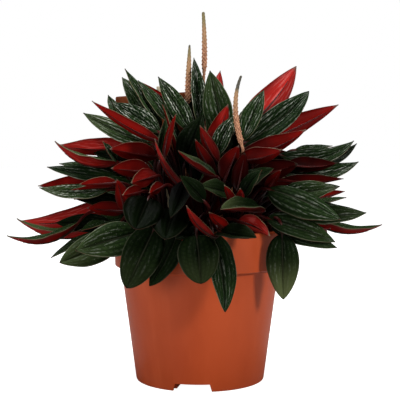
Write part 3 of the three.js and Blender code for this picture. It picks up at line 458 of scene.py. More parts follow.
class LeafLines:
    """The lines of a leaf in its place: the stalk up to the neck, then the midrib up to the tip."""

    def __init__(self, leaf: Leaf, shift: float, crown: int, lift: float) -> None:
        """Settles the lines.

        Args:
            leaf: the leaf.
            shift: how far it moved.
            crown: the crown that carries it.
            lift: how much higher its stalk goes.
        """
        self.leaf = leaf
        tip, neck = leaf.ends(shift)
        chord = tip - neck
        middle = (tip + neck) / 2
        bulge, self.face = self._facing(unit(chord), middle)
        bend = middle + bulge * 2 * leaf.arc * np.linalg.norm(chord)
        self.midrib = [neck, bend, tip]
        self.length = float(np.linalg.norm(chord))
        self.start = unit(bend - neck)
        self.stalk = self._stalk(neck, STEMS[crown], lift)

    def _facing(self, along: np.ndarray, middle: np.ndarray) -> Pair:
        """Gives the side that the midrib bulges to, and the direction that the upper face looks in.

        Args:
            along: direction from neck to tip.
            middle: the point halfway.

        Returns:
            Both directions.
        """
        lean = HABIT.seen_lean if self.leaf.seen else HABIT.hidden_lean
        natural = np.array([*(-middle[:2] / np.linalg.norm(middle[:2]) * lean), 1.0])
        turn = math.radians(self.leaf.turn)
        if self.leaf.seen:
            seen = across(EYE - middle, along)
            other = unit(np.cross(along, seen))
            if other @ natural < 0:
                other = -other
            return other, math.cos(turn) * seen + math.sin(turn) * other
        natural = across(natural, along)
        return natural, natural * math.cos(turn) + np.cross(along, natural) * math.sin(turn)

    def _stalk(self, neck: np.ndarray, stem: np.ndarray, lift: float) -> list[np.ndarray]:
        """Gives the stalk's four control points: up out of the stem, over, and into the neck.

        Args:
            neck: where it ends.
            stem: x and y of the stem.
            lift: how much higher it goes.

        Returns:
            The points.
        """
        h = HABIT
        outward = np.array([neck[0] - stem[0], neck[1] - stem[1], 0.0])
        reach = float(np.linalg.norm(outward))
        outward = outward / reach
        share = min(max((neck[2] - h.low_neck) / (h.high_neck - h.low_neck), 0), 1)
        root_z = h.soil_top + h.first_root + (h.last_root - h.first_root) * share
        root = np.array([stem[0], stem[1], root_z]) + outward * h.root_out
        rise = h.rise_share * max(neck[2] - root_z, 0) + h.rise_least + lift
        over = root + np.array([0, 0, rise]) + outward * (h.lean_least + h.lean_share * reach)
        arrive = neck - self.start * h.run_in * max(reach, h.run_in_reach)
        arch = h.arch_share * max(0, h.rim_z + h.over_rim - neck[2])
        return [root, over, arrive + np.array([0, 0, arch + h.lift_share * lift]), neck]

    def frame_at(self, k: np.ndarray) -> Pair:
        """Gives the heading and the upward direction of the blade at places along the midrib."""
        ahead = heading(self.midrib, k)
        return ahead, across(np.broadcast_to(self.face, ahead.shape), ahead)

    def tip_ring(self) -> np.ndarray:
        """Gives the six corners of the plain blade's tip, by which its place in the solid is known.

        Returns:
            The points.
        """
        ahead = heading(self.midrib, 1.0)[0]
        up = across(self.face, ahead)
        side = np.cross(ahead, up)
        fold = math.radians(self.leaf.fold)
        corners = [(-1, 1), (0, 1), (1, 1), (1, -1), (0, -1), (-1, -1)]
        wide, thick = HABIT.tip_half, HABIT.plate_half
        over, rise, tip = wide * math.cos(fold), wide * math.sin(fold), self.midrib[2]
        return np.array([tip + side * u * over + up * (abs(u) * rise + h * thick) for u, h in corners])

    def stalk_ring(self) -> np.ndarray:
        """Gives the four corners of the plain stalk halfway up, by which its lift is known.

        Returns:
            The points.
        """
        side = unit(np.cross(self.start, across(self.face, self.start)))
        for t in (1.0, 0.5):
            ahead = heading(self.stalk, t)[0]
            side = across(side, ahead)
        up = np.cross(side, ahead)
        middle = bezier(self.stalk, 0.5)[0]
        return np.array([middle + side * a + up * b for a, b in ((-1, 1), (1, 1), (1, -1), (-1, -1))])


@dataclass(frozen=True)
class Heart:
    """The painted shade in the heart of the mound: middle in metres, reach in millimetres, and where it
    starts and ends.
    """

    middle: Place = (0.0, 0.0, 0.116)
    reach: Place = (90.0, 100.0, 76.0)
    light: float = 0.95
    dark: float = 0.45


HEART = Heart()
BLACK = (0.0, 0.0, 0.0)


@dataclass(frozen=True)
class Clouds:
    """Cloudy noise: how fine it is, how many finer layers it has and how strong, and how it is stretched."""

    scale: float
    detail: float = 3.0
    rough: float = 0.5
    stretch: Place | None = None


class Sheet:
    """The node tree of one finish. Each call adds a node and gives its output."""

    def __init__(self, name: str) -> None:
        """Starts an empty finish under a name.

        Args:
            name: the material's name.
        """
        self.material = bpy.data.materials.new(name)
        self.material.use_nodes = True
        self.tree = self.material.node_tree
        self.shader = self.tree.nodes["Principled BSDF"]
        places = self.tree.nodes.new("ShaderNodeTexCoord").outputs
        self.where, self.uv = places["Object"], places["UV"]

    def node(self, kind: str, inputs: dict, **settings: object) -> bpy.types.NodeOutputs:
        """Adds a node.

        Args:
            kind: the end of Blender's name of the node type.
            inputs: sockets by name or number, each with a value or another node's output.
            settings: the node's own settings.

        Returns:
            The node's outputs.
        """
        made = self.tree.nodes.new("ShaderNode" + kind)
        for key, value in settings.items():
            setattr(made, key, value)
        for key, value in inputs.items():
            self.put(made.inputs[key], value)
        return made.outputs

    def put(self, socket: Socket, value: object) -> None:
        """Sets a socket to a value, or links it to another node's output.

        Args:
            socket: the socket.
            value: a number, a colour or another node's output.
        """
        if isinstance(value, Socket):
            self.tree.links.new(value, socket)
        elif socket.type == "RGBA":
            socket.default_value = (*value, 1.0)
        else:
            socket.default_value = value

    def math(self, operation: str, a: object, b: object = 0.0, c: object = 0.0) -> Socket:
        """Adds a sum of one to three numbers."""
        return self.node("Math", {0: a, 1: b, 2: c}, operation=operation)[0]

    def times(self, a: object, b: object) -> Socket:
        """Multiplies two numbers."""
        return self.math("MULTIPLY", a, b)

    def line(self, value: object, gain: object, base: object) -> Socket:
        """Multiplies a number by a gain and adds a base."""
        return self.math("MULTIPLY_ADD", value, gain, base)

    def rise(self, value: object, low: float, high: float) -> Socket:
        """Goes smoothly from 0 to 1 as the value goes from low to high."""
        inputs = {"Value": value, "From Min": low, "From Max": high}
        return self.node("MapRange", inputs, interpolation_type="SMOOTHSTEP")[0]

    def mix(self, share: object, a: object, b: object) -> Socket:
        """Mixes two colours."""
        return self.node("Mix", {0: share, 6: a, 7: b}, data_type="RGBA")[2]

    def over(self, colour: object, other: object, share: object, most: object) -> Socket:
        """Lays another colour over a colour, by a share of the most that it may be."""
        return self.mix(self.times(share, most), colour, other)

    def toward(
        self, colour: object, other: object, value: object, low: float, high: float, most: object
    ) -> Socket:
        """Lays another colour over a colour as a value goes from low to high."""
        return self.over(colour, other, self.rise(value, low, high), most)

    def vector(self, operation: str, a: object, b: object = (0.0, 0.0, 0.0)) -> bpy.types.NodeOutputs:
        """Adds a sum of one or two vectors."""
        return self.node("VectorMath", {0: a, 1: b}, operation=operation)

    def noise(self, where: Socket, kind: Clouds) -> Socket:
        """Adds cloudy noise from 0 to 1.

        Args:
            where: the coordinates that it is laid out on.
            kind: how it looks.

        Returns:
            The noise.
        """
        if kind.stretch:
            where = self.node("Mapping", {"Vector": where, "Scale": kind.stretch})[0]
        inputs = {"Vector": where, "Scale": kind.scale, "Detail": kind.detail, "Roughness": kind.rough}
        return self.node("TexNoise", inputs)[0]

    def tone(self, name: str) -> Socket:
        """Reads a number kept on the mesh for each vertex."""
        return self.node("Attribute", {}, attribute_name=name)["Fac"]

    def leaf_grid(self, ribs: float) -> tuple[Socket, ...]:
        """Lays out a leaf by its map.

        Args:
            ribs: ribs on each half.

        Returns:
            The place across from 0 to 1, out from the midrib, along, and up a rib.
        """
        split = self.node("SeparateXYZ", {0: self.uv})
        out = self.math("ABSOLUTE", self.line(split[0], 2.0, -1.0))
        rib = self.math("ABSOLUTE", self.math("SINE", self.times(out, math.pi * ribs)))
        return split[0], out, split[1], rib

    def shaded(self, colour: Socket, most: float) -> Socket:
        """Paints shade into a colour: in the heart of the mound, and on each leaf by its own share of painted
        shade.

        Args:
            colour: the colour in full light.
            most: share that is lost in the middle.

        Returns:
            The colour.
        """
        centred = self.vector("SUBTRACT", self.where, HEART.middle)[0]
        far = self.vector("MULTIPLY", centred, tuple(1 / (MM * reach) for reach in HEART.reach))[0]
        reach = self.vector("LENGTH", far)["Value"]
        # Painted shade: first each leaf's own share, then the heart of the mound.
        colour = self.mix(self.tone("leaf_shade"), colour, BLACK)
        return self.toward(colour, BLACK, reach, HEART.light, HEART.dark, most)

    def relief(self, height: Socket, strength: float, distance: float) -> None:
        """Lets a pattern stand out of the surface by a share of the full height in metres."""
        inputs = {"Strength": strength, "Distance": distance, "Height": height}
        self.put(self.shader.inputs["Normal"], self.node("Bump", inputs)[0])

    def finish(self, colour: object, rough: object, **constants: object) -> Material:
        """Wires the colour and roughness, and sets what is the same all over.

        Args:
            colour: base colour.
            rough: roughness.
            constants: other shader sockets, with underscores for the spaces in their names.

        Returns:
            The material.
        """
        for name, value in {"Base_Color": colour, "Roughness": rough, **constants}.items():
            self.put(self.shader.inputs[name.replace("_", " ")], value)
        return self.material


@dataclass(frozen=True)
class PotPlastic:
    """Satin terracotta-coloured plastic with faint flow clouds and dust in fine scratches."""

    body: Colour = (0.42, 0.063, 0.014)
    pale: Colour = (0.48, 0.086, 0.025)
    deep: Colour = (0.35, 0.047, 0.009)
    clouds: Clouds = Clouds(26, 4, 0.55, (1, 1, 0.35))
    flow: Clouds = Clouds(90, 3, 0.6, (1, 1, 0.12))
    scratches: Clouds = Clouds(160, 2, 0.6, (1, 1, 14))
    grit: Clouds = Clouds(2600, 2, 0.6)

    def make(self) -> Material:
        """Builds the material.

        Returns:
            The material.
        """
        s = Sheet("pot_plastic_satin")
        clouds = s.noise(s.where, self.clouds)
        colour = s.mix(s.rise(clouds, 0.3, 0.72), self.deep, self.body)
        flow = s.noise(s.where, self.flow)
        colour = s.toward(colour, self.pale, flow, 0.5, 0.8, 0.35)
        scratches = s.noise(s.where, self.scratches)
        colour = s.toward(colour, self.pale, scratches, 0.66, 0.8, 0.25)
        s.relief(s.line(clouds, 0.6, s.noise(s.where, self.grit)), 0.12, 0.0002)
        return s.finish(colour, s.line(scratches, 0.16, 0.34), Specular_IOR_Level=0.2)


@dataclass(frozen=True)
class Peat:
    """Moist dark peat with paler crumbs."""

    dark: Colour = (0.012, 0.007, 0.004)
    light: Colour = (0.06, 0.034, 0.019)
    crumbs: Clouds = Clouds(420, 5, 0.65)

    def make(self) -> Material:
        """Builds the material.

        Returns:
            The material.
        """
        s = Sheet("peat_crumbs")
        crumbs = s.noise(s.where, self.crumbs)
        s.relief(crumbs, 0.8, 0.0015)
        return s.finish(s.mix(s.rise(crumbs, 0.4, 0.75), self.dark, self.light), s.line(crumbs, 0.3, 0.65))


@dataclass(frozen=True)
class LeafFace:
    """The leaf's upper side: green ribs with broken silvery streaks that carry painted sheen and glints,
    between near-black valleys and painted shade in the quilted creases.
    """

    deep: Colour = (0.003, 0.008, 0.003)
    green: Colour = (0.008, 0.02, 0.005)
    bright: Colour = (0.02, 0.04, 0.011)
    silvery_sheen: Colour = (0.065, 0.09, 0.058)
    glint_white: Colour = (0.58, 0.6, 0.52)
    rim: Colour = (0.2, 0.21, 0.135)
    olive: Colour = (0.12, 0.14, 0.055)
    tip: Colour = (0.012, 0.008, 0.006)
    patches: Clouds = Clouds(60)
    dashes: Clouds = Clouds(2.8, 4, 0.62, (4, 1.3, 1))
    bands: Clouds = Clouds(1.7, 1, 0.5, (3, 1.2, 1))
    glint_specks: Clouds = Clouds(3.2, 1, 0.5, (9, 16, 1))
    fine: Clouds = Clouds(7, 2, 0.5, (4, 14, 1))
    ribs: float = 3.5
    slant: float = -0.9
    quilts: float = 13.0

    def make(self) -> Material:
        """Builds the material: ground and valleys, silvery streaks with painted sheen and glints, painted
        shade in the quilts' creases and painted glint dots, then midrib, tip and edge.

        Returns:
            The material.
        """
        s = Sheet("leaf_upper_green")
        sideways, out, along, rib = s.leaf_grid(self.ribs)
        tone, sheen = s.tone("leaf_tone"), s.tone("leaf_sheen")
        slanted = s.line(along, self.slant, out)
        own = s.line(tone, 30.0, s.math("GREATER_THAN", sideways, 0.5))
        number = s.math("FLOOR", s.times(out, self.ribs))
        cells, bands = (s.node("CombineXYZ", {0: x, 1: along, 2: own})[0] for x in (slanted, number))
        share = s.line(tone, 0.5, s.times(s.noise(s.where, self.patches), 0.8))
        colour = s.mix(s.rise(share, 0.3, 0.8), self.green, self.bright)
        colour = s.toward(colour, self.deep, rib, 0.75, 0.1, s.line(sheen, 0.5, 0.4))
        dashes = s.noise(cells, self.dashes)
        picked = s.rise(s.noise(bands, self.bands), 0.38, 0.58)
        fade = s.times(s.times(s.rise(along, 0.02, 0.2), sheen), s.line(picked, 0.85, 0.15))
        # Silvery streaks on the ribs: partly the leaf's own silvery tone, partly painted sheen.
        streaks = s.times(s.rise(rib, 0.6, 1.0), s.rise(dashes, 0.4, 0.62))
        colour = s.over(colour, self.silvery_sheen, streaks, s.times(fade, 0.75))
        # Painted glints: near-white highlights on the rib crests, broken into dashes.
        glints = s.times(s.rise(rib, 0.6, 0.92), s.rise(dashes, 0.51, 0.6))
        colour = s.over(colour, self.glint_white, glints, s.times(fade, 0.85))
        colour = s.toward(colour, self.deep, out, 0.2, 0.05, 0.55)
        # Painted shade in the creases between the quilted puckers along the ribs.
        waves = s.line(along, FULL_TURN * self.quilts, s.times(slanted, 9.0))
        quilt = s.math("SINE", s.line(number, 2.1, s.math("ADD", waves, own)))
        colour = s.toward(colour, self.deep, quilt, 0.1, -0.9, s.times(rib, 0.5))
        # Painted glint dots on the ribs, fewer where a leaf has more painted shade.
        glint_specks = s.rise(s.noise(cells, self.glint_specks), 0.71, 0.77)
        bare = s.math("SUBTRACT", 0.9, s.tone("leaf_shade"))
        colour = s.over(colour, self.glint_white, s.times(glint_specks, s.rise(rib, 0.3, 0.7)), bare)
        midrib = s.times(s.rise(out, 0.05, 0.015), s.rise(along, 1.0, 0.3))
        colour = s.over(colour, self.rim, midrib, 0.45)
        colour = s.toward(colour, self.olive, along, 0.25, 0.9, s.tone("leaf_pale"))
        colour = s.toward(colour, self.rim, out, 0.945, 0.985, 0.6)
        colour = s.toward(colour, self.tip, along, 0.965, 0.995, 0.8)
        fine = s.noise(cells, self.fine)
        s.relief(s.line(dashes, 0.7, fine), 0.35, 0.0006)
        return s.finish(s.shaded(colour, 0.85), s.line(fine, 0.25, 0.24), Specular_IOR_Level=0.008)


@dataclass(frozen=True)
class LeafBack:
    """The leaf's underside: satin crimson with fine darker veins and a paler keel, painted light with pink
    painted sheen on some leaves, and painted shade at the neck.
    """

    deep: Colour = (0.06, 0.0015, 0.001)
    red: Colour = (0.2, 0.005, 0.003)
    pale: Colour = (0.34, 0.1, 0.07)
    pink: Colour = (0.52, 0.1, 0.09)
    lit: Colour = (0.36, 0.018, 0.014)
    tip: Colour = (0.1, 0.085, 0.065)
    clouds: Clouds = Clouds(70)
    patches: Clouds = Clouds(2.6, stretch=(5, 1.6, 1))
    fine: Clouds = Clouds(900, 2, 0.6)
    ribs: float = 3.5

    def make(self) -> Material:
        """Builds the material: ground with painted light and pink patches of painted sheen, veins, darker
        edges and painted shade at the neck, then keel, edge and tip.

        Returns:
            The material.
        """
        s = Sheet("leaf_under_crimson")
        _, out, along, rib = s.leaf_grid(self.ribs)
        painted_lit_share = s.tone("leaf_pale")
        share = s.line(s.tone("leaf_tone"), 0.35, s.times(s.noise(s.where, self.clouds), 0.9))
        colour = s.mix(s.rise(share, 0.3, 0.85), self.deep, self.red)
        # Painted light on the leaves that stand in it, with pink patches of painted sheen.
        colour = s.over(colour, self.lit, painted_lit_share, 0.9)
        patches = s.noise(s.uv, self.patches)
        colour = s.toward(colour, self.pink, patches, 0.5, 0.6, s.times(painted_lit_share, 0.7))
        colour = s.toward(colour, self.deep, rib, 0.35, 0.0, 0.3)
        colour = s.toward(colour, self.deep, out, 0.55, 0.95, 0.55)
        # Painted shade towards the neck, where the stalks meet in the dark heart.
        colour = s.toward(colour, self.deep, along, 0.35, 0.0, 0.5)
        keel = s.times(s.rise(out, 0.06, 0.0), s.rise(along, 0.9, 0.1))
        colour = s.over(colour, self.pale, keel, 0.35)
        colour = s.toward(colour, self.pale, out, 0.965, 1.0, 0.35)
        colour = s.toward(colour, self.tip, along, 0.92, 0.985, 0.85)
        fine = s.noise(s.where, self.fine)
        s.relief(fine, 0.15, 0.0003)
        return s.finish(s.shaded(colour, 0.9), s.line(fine, 0.2, 0.32), Specular_IOR_Level=0.02)


@dataclass(frozen=True)
class LeafMargin:
    """The blade's thin edge: pale olive, reddish in places."""

    pale: Colour = (0.15, 0.12, 0.065)
    red: Colour = (0.14, 0.03, 0.018)
    clouds: Clouds = Clouds(110)

    def make(self) -> Material:
        """Builds the material.

        Returns:
            The material.
        """
        s = Sheet("leaf_margin_pale")
        clouds = s.noise(s.where, self.clouds)
        colour = s.shaded(s.mix(s.rise(clouds, 0.42, 0.6), self.pale, self.red), 0.85)
        return s.finish(colour, s.line(clouds, 0.2, 0.35), Specular_IOR_Level=0.08)


@dataclass(frozen=True)
class StalkSkin:
    """Leaf stalks and stems: glossy red flesh, greener and brown-scarred low down."""

    red: Colour = (0.035, 0.002, 0.002)
    pink: Colour = (0.08, 0.006, 0.005)
    low: Colour = (0.02, 0.009, 0.005)
    clouds: Clouds = Clouds(130, 3, 0.6)
    fine: Clouds = Clouds(1200, 2, 0.6)

    def make(self) -> Material:
        """Builds the material.

        Returns:
            The material.
        """
        s = Sheet("stalk_red")
        clouds = s.noise(s.where, self.clouds)
        height = s.node("SeparateXYZ", {0: s.where})[2]
        colour = s.mix(s.rise(clouds, 0.35, 0.75), self.red, self.pink)
        colour = s.mix(s.rise(s.line(clouds, -0.012, height), 0.112, 0.096), colour, self.low)
        s.relief(s.noise(s.where, self.fine), 0.2, 0.0003)
        return s.finish(s.shaded(colour, 0.9), s.line(clouds, 0.2, 0.22), Specular_IOR_Level=0.1)


@dataclass(frozen=True)
class SpikeSkin:
    """Flower spikes: salmon granules over a redder ground, tan and then olive upwards, with a dark tip."""

    ground: Colour = (0.21, 0.07, 0.03)
    grain: Colour = (0.62, 0.3, 0.16)
    tan: Colour = (0.37, 0.21, 0.095)
    olive: Colour = (0.2, 0.165, 0.062)
    tip: Colour = (0.065, 0.058, 0.038)
    clouds: Clouds = Clouds(800, 2, 0.6)

    def make(self) -> Material:
        """Builds the material.

        Returns:
            The material.
        """
        s = Sheet("spike_granules")
        up = s.tone("up_spike")
        clouds = s.noise(s.where, self.clouds)
        share = s.rise(s.line(s.tone("granule"), 0.45, s.times(clouds, 1.1)), 0.45, 1.05)
        colour = s.mix(share, self.ground, self.grain)
        colour = s.toward(colour, self.tan, up, 0.38, 0.66, 0.8)
        colour = s.toward(colour, self.olive, up, 0.7, 0.9, 0.9)
        colour = s.mix(s.tone("dark_tip"), colour, self.tip)
        s.relief(clouds, 0.4, 0.0004)
        return s.finish(colour, s.line(clouds, 0.25, 0.5))


@dataclass(frozen=True)
class CardCoat:
    """Brown printed card with a plain face, mottled and with fine fibres."""

    deep: Colour = (0.1, 0.02, 0.007)
    brown: Colour = (0.22, 0.055, 0.018)
    clouds: Clouds = Clouds(45, 4, 0.6)
    fibres: Clouds = Clouds(700, 2, 0.6, (1, 1, 6))

    def make(self) -> Material:
        """Builds the material.

        Returns:
            The material.
        """
        s = Sheet("card_brown")
        clouds = s.noise(s.where, self.clouds)
        fibres = s.noise(s.where, self.fibres)
        s.relief(fibres, 0.2, 0.0002)
        colour = s.mix(s.rise(clouds, 0.3, 0.75), self.deep, self.brown)
        return s.finish(colour, s.line(fibres, 0.2, 0.6), Specular_IOR_Level=0.08)


@dataclass(frozen=True)
class StakePlastic:
    """Cream plastic strip, a little yellowed and dusty."""

    cream: Colour = (0.92, 0.8, 0.55)
    worn: Colour = (0.8, 0.66, 0.42)
    clouds: Clouds = Clouds(80, 3, 0.6, (1, 1, 0.3))
    fine: Clouds = Clouds(1500, 2, 0.5)

    def make(self) -> Material:
        """Builds the material.

        Returns:
            The material.
        """
        s = Sheet("stake_cream")
        clouds = s.noise(s.where, self.clouds)
        s.relief(s.noise(s.where, self.fine), 0.1, 0.0002)
        return s.finish(s.mix(s.rise(clouds, 0.4, 0.8), self.cream, self.worn), s.line(clouds, 0.2, 0.35))


@dataclass(frozen=True)
class FloorPaper:
    """Plain white background paper that glows where the camera sees it, so that it stays white in the
    picture.
    """

    white: Colour = (0.5, 0.5, 0.5)
    shade: Colour = (0.46, 0.46, 0.46)
    clouds: Clouds = Clouds(3, 2, 0.5)
    glow: float = 1.0

    def make(self) -> Material:
        """Builds the material.

        Returns:
            The material.
        """
        s = Sheet("floor_paper")
        clouds = s.noise(s.where, self.clouds)
        seen = s.times(s.node("LightPath", {})["Is Camera Ray"], self.glow)
        colour = s.mix(clouds, self.white, self.shade)
        rough, light = s.line(clouds, 0.1, 0.8), (1.0, 1.0, 1.0)
        return s.finish(colour, rough, Emission_Color=light, Emission_Strength=seen)


def mode(name: str) -> None:
    """Switches the active piece to object or edit mode."""
    bpy.ops.object.mode_set(mode=name)


def deselect() -> None:
    """Leaves edit mode and deselects everything, the solids of the frame among it."""
    if bpy.context.object and bpy.context.object.mode != "OBJECT":
        mode("OBJECT")
    bpy.ops.object.select_all(action="DESELECT")


def pick(piece: Piece, *others: Piece) -> None:
    """Selects pieces and makes the first one active.

    Args:
        piece: the piece that becomes active.
        others: pieces selected with it.
    """
    deselect()
    for one in (piece, *others):
        one.select_set(True)
    bpy.context.view_layer.objects.active = piece


def edit_all(piece: Piece) -> None:
    """Opens a piece in edit mode with all of it selected.

    Args:
        piece: the piece.
    """
    pick(piece)
    mode("EDIT")
    bpy.ops.mesh.select_all(action="SELECT")


def edit_some(piece: Piece, kind: str, test: Callable[[object], bool]) -> None:
    """Opens a piece in edit mode with only some of it selected.

    Args:
        piece: the piece.
        kind: vertices or polygons.
        test: tells of each whether it is selected.
    """
    edit_all(piece)
    bpy.ops.mesh.select_all(action="DESELECT")
    mode("OBJECT")
    for one in getattr(piece.data, kind):
        one.select = test(one)
    mode("EDIT")


def tidy_mesh(piece: Piece) -> None:
    """Merges a piece's doubles, points its faces outwards and leaves edit mode.

    Args:
        piece: the piece.
    """
    edit_all(piece)
    bpy.ops.mesh.remove_doubles(threshold=MERGE)
    bpy.ops.mesh.normals_make_consistent(inside=False)
    mode("OBJECT")


def modify(piece: Piece, kind: str, **settings: object) -> None:
    """Adds a modifier and applies it.

    Args:
        piece: the piece.
        kind: Blender's name of the modifier type.
        settings: the modifier's settings.
    """
    modifier = piece.modifiers.new(kind.lower(), kind)
    for key, value in settings.items():
        setattr(modifier, key, value)
    pick(piece)
    bpy.ops.object.modifier_apply(modifier=modifier.name)


def combine(piece: Piece, other: Piece, operation: str) -> None:
    """Adds another piece's shape to a piece or takes it out, and removes the other."""
    modify(piece, "BOOLEAN", operation=operation, object=other, solver="EXACT")
    bpy.data.objects.remove(other)


def joined(name: str, pieces: list[Piece]) -> Piece:
    """Joins pieces into the first one.

    Args:
        name: the joined piece's name.
        pieces: the pieces.

    Returns:
        The joined piece.
    """
    pick(*pieces)
    bpy.ops.object.join()
    pieces[0].name = name
    return pieces[0]


def placed_piece(name: str, **turn: object) -> Piece:
    """Names the piece just added, and moves its place, turn and scale into its mesh.

    Args:
        name: its name.
        turn: settings of the object that are made first.

    Returns:
        The piece.
    """
    piece = bpy.context.object
    piece.name = name
    for key, value in turn.items():
        setattr(piece, key, value)
    bpy.ops.object.transform_apply()
    return piece


def spun(name: str, outline: list[tuple[float, float]], steps: int) -> Piece:
    """Draws an outline from one point by extrusion and spins it about the upright axis.

    Args:
        name: the piece's name.
        outline: radius and height of each point in millimetres.
        steps: how many steps go round.

    Returns:
        The piece.
    """
    deselect()
    radius, height = outline[0]
    bpy.ops.mesh.primitive_plane_add(size=MM, location=(radius * MM, 0, height * MM))
    piece = placed_piece(name)
    edit_all(piece)
    bpy.ops.mesh.merge(type="CENTER")
    for (r0, z0), (r1, z1) in zip(outline, outline[1:]):
        step = ((r1 - r0) * MM, 0, (z1 - z0) * MM)
        bpy.ops.mesh.extrude_region_move(TRANSFORM_OT_translate={"value": step})
    bpy.ops.mesh.select_all(action="SELECT")
    bpy.ops.mesh.spin(steps=steps, angle=FULL_TURN, center=(0, 0, 0), axis=(0, 0, 1))
    tidy_mesh(piece)
    return piece


def block(name: str, size: Place, place: Place) -> Piece:
    """Adds a block.

    Args:
        name: the piece's name.
        size: its three sides in millimetres.
        place: its middle in millimetres.

    Returns:
        The piece, unturned and unscaled.
    """
    deselect()
    bpy.ops.mesh.primitive_cube_add(size=1, location=[v * MM for v in place], scale=[v * MM for v in size])
    return placed_piece(name)


def turned(piece: Piece, angle: float) -> Piece:
    """Turns a piece's mesh about the upright axis by radians."""
    pick(piece)
    return placed_piece(piece.name, rotation_euler=(0, 0, angle))


def dressed(piece: Piece, finish: Material | None, node: str, angle: float) -> Piece:
    """Gives a finished piece its material and body, and hides the CAD node that it stands for.

    Args:
        piece: the piece.
        finish: its material, or None for a piece that has its materials.
        node: the CAD node that it replaces.
        angle: edges sharper than this many degrees stay sharp.

    Returns:
        The piece.
    """
    if finish:
        piece.data.materials.clear()
        piece.data.materials.append(finish)
    pick(piece)
    bpy.ops.object.shade_smooth_by_angle(angle=math.radians(angle))
    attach(piece, BODY)
    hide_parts(node)
    LOG.info("%s: %d faces, for %s", piece.name, len(piece.data.polygons), node)
    return piece


@dataclass
class NurseryPot:
    """Tapered pot with a band round the rim that steps out, a foot ring with gaps, webs and drain holes."""

    height: float = 106.0
    foot_radius: float = 44.7
    step_radius: float = 55.2
    step_z: float = 80.0
    band_radius: float = 59.2
    rim_radius: float = 60.0
    wall: float = 1.6
    band_wall: float = 2.2
    floor_z: float = 5.6
    floor_thick: float = 1.8
    foot_width: float = 3.0
    gaps: int = 3
    gap_turn: float = -0.117
    gap_half: float = 11.7
    gap_slope: float = 1.6
    gap_height: float = 5.2
    gap_depth: float = 14.0
    below: float = 1.0
    web_turn: float = -0.4
    web_thick: float = 2.4
    web_inner: float = 27.0
    web_outer: float = 42.6
    web_bottom: float = 1.4
    web_sunk: float = 0.4
    web_least: float = 0.7
    drain_radius: float = 3.6
    drain_ring: float = 31.0
    drain_sides: int = 32
    drains: int = 6
    past: float = 12.0
    steps: int = 144
    smooth: float = 28.0
    finish: PotPlastic = field(default_factory=PotPlastic)

    def wall_radius(self, z: float) -> float:
        """Gives the outer wall's radius at a height."""
        return self.foot_radius + (self.step_radius - self.foot_radius) * z / self.step_z

    def outline(self) -> list[tuple[float, float]]:
        """Lists the outline from under the floor's middle round the outside to the floor's middle inside.

        Returns:
            Radius and height of each point.
        """
        floor, top, lip, step = self.floor_z, self.height, self.rim_radius, self.step_z
        floor_top, outer = self.floor_z + self.floor_thick, self.foot_radius
        inner, inner_lip, band = outer - self.foot_width, lip - self.band_wall, self.band_radius
        return [
            (0, floor), (inner - 0.6, floor), (inner, floor - 0.6),
            (inner + 0.2, 0.3), (inner + 0.6, 0), (outer - 0.7, 0), (outer - 0.2, 0.25),
            *((self.wall_radius(z), z) for z in (0.9, 20, 40, 60)),
            (self.step_radius - 0.1, step - 0.9), (self.step_radius + 0.4, step - 0.2),
            (band - 0.6, step), (band, step + 0.5), (band + 0.35, step + 12),
            (lip - 0.1, top - 3.2), (lip, top - 1.2), (lip - 0.3, top - 0.4), (lip - 0.9, top),
            (lip - 1.6, top), (inner_lip, top - 0.5), (inner_lip - 0.1, top - 2),
            (band - self.band_wall, step + 4), (self.step_radius - self.wall, step - 1),
            (self.wall_radius(floor_top + 3) - self.wall, floor_top + 3),
            (self.wall_radius(floor_top) - self.wall - 3, floor_top), (0, floor_top),
        ]

    def build(self) -> list[Piece]:
        """Builds the pot.

        Returns:
            The pot alone.
        """
        pot = spun("pot_shell", self.outline(), self.steps)
        for turn in (i * FULL_TURN / self.gaps for i in range(self.gaps)):
            combine(pot, self.gap_cutter(turn + self.gap_turn), "DIFFERENCE")
            combine(pot, self.web(turn + self.web_turn), "UNION")
        for i in range(self.drains):
            combine(pot, self.drain_cutter((i + 0.5) * FULL_TURN / self.drains), "DIFFERENCE")
        tidy_mesh(pot)
        return [dressed(pot, self.finish.make(), "pot", self.smooth)]

    def gap_cutter(self, turn: float) -> Piece:
        """Shapes the cutter of one foot gap, wider at the bottom, and turns it about the axis.

        Args:
            turn: its angle in radians.

        Returns:
            The cutter.
        """
        middle, low = -self.foot_radius, -self.below
        size = (2 * self.gap_half, self.gap_depth, self.gap_height - low)
        cutter = block("gap_cutter", size, (0, middle, (self.gap_height + low) / 2))
        edit_some(cutter, "polygons", lambda face: face.normal.z < -0.9)
        wider = 1 + self.gap_slope / self.gap_half
        bpy.ops.transform.resize(value=(wider, 1, 1), center_override=(0, middle * MM, low * MM))
        mode("OBJECT")
        return turned(cutter, turn)

    def web(self, turn: float) -> Piece:
        """Shapes a web under the floor, deepest at the foot ring, and turns it about the axis.

        Args:
            turn: its angle in radians.

        Returns:
            The web.
        """
        top = self.floor_z + self.web_sunk
        drop = top - self.web_bottom
        place = (0, -(self.web_outer + self.web_inner) / 2, top - drop / 2)
        web = block("web", (self.web_thick, self.web_outer - self.web_inner, drop), place)
        edit_some(web, "vertices", lambda v: v.co.z < (top - 1) * MM and v.co.y > place[1] * MM)
        bpy.ops.transform.translate(value=(0, 0, (drop - self.web_least) * MM))
        mode("OBJECT")
        return turned(web, turn)

    def drain_cutter(self, turn: float) -> Piece:
        """Shapes the cutter of one drain hole in the floor.

        Args:
            turn: its angle in radians.

        Returns:
            The cutter.
        """
        deselect()
        ring = self.drain_ring
        place = [ring * math.cos(turn) * MM, ring * math.sin(turn) * MM, self.floor_z * MM]
        size = {"radius": self.drain_radius * MM, "depth": self.past * MM, "vertices": self.drain_sides}
        bpy.ops.mesh.primitive_cylinder_add(location=place, **size)
        return placed_piece("drain_cutter")


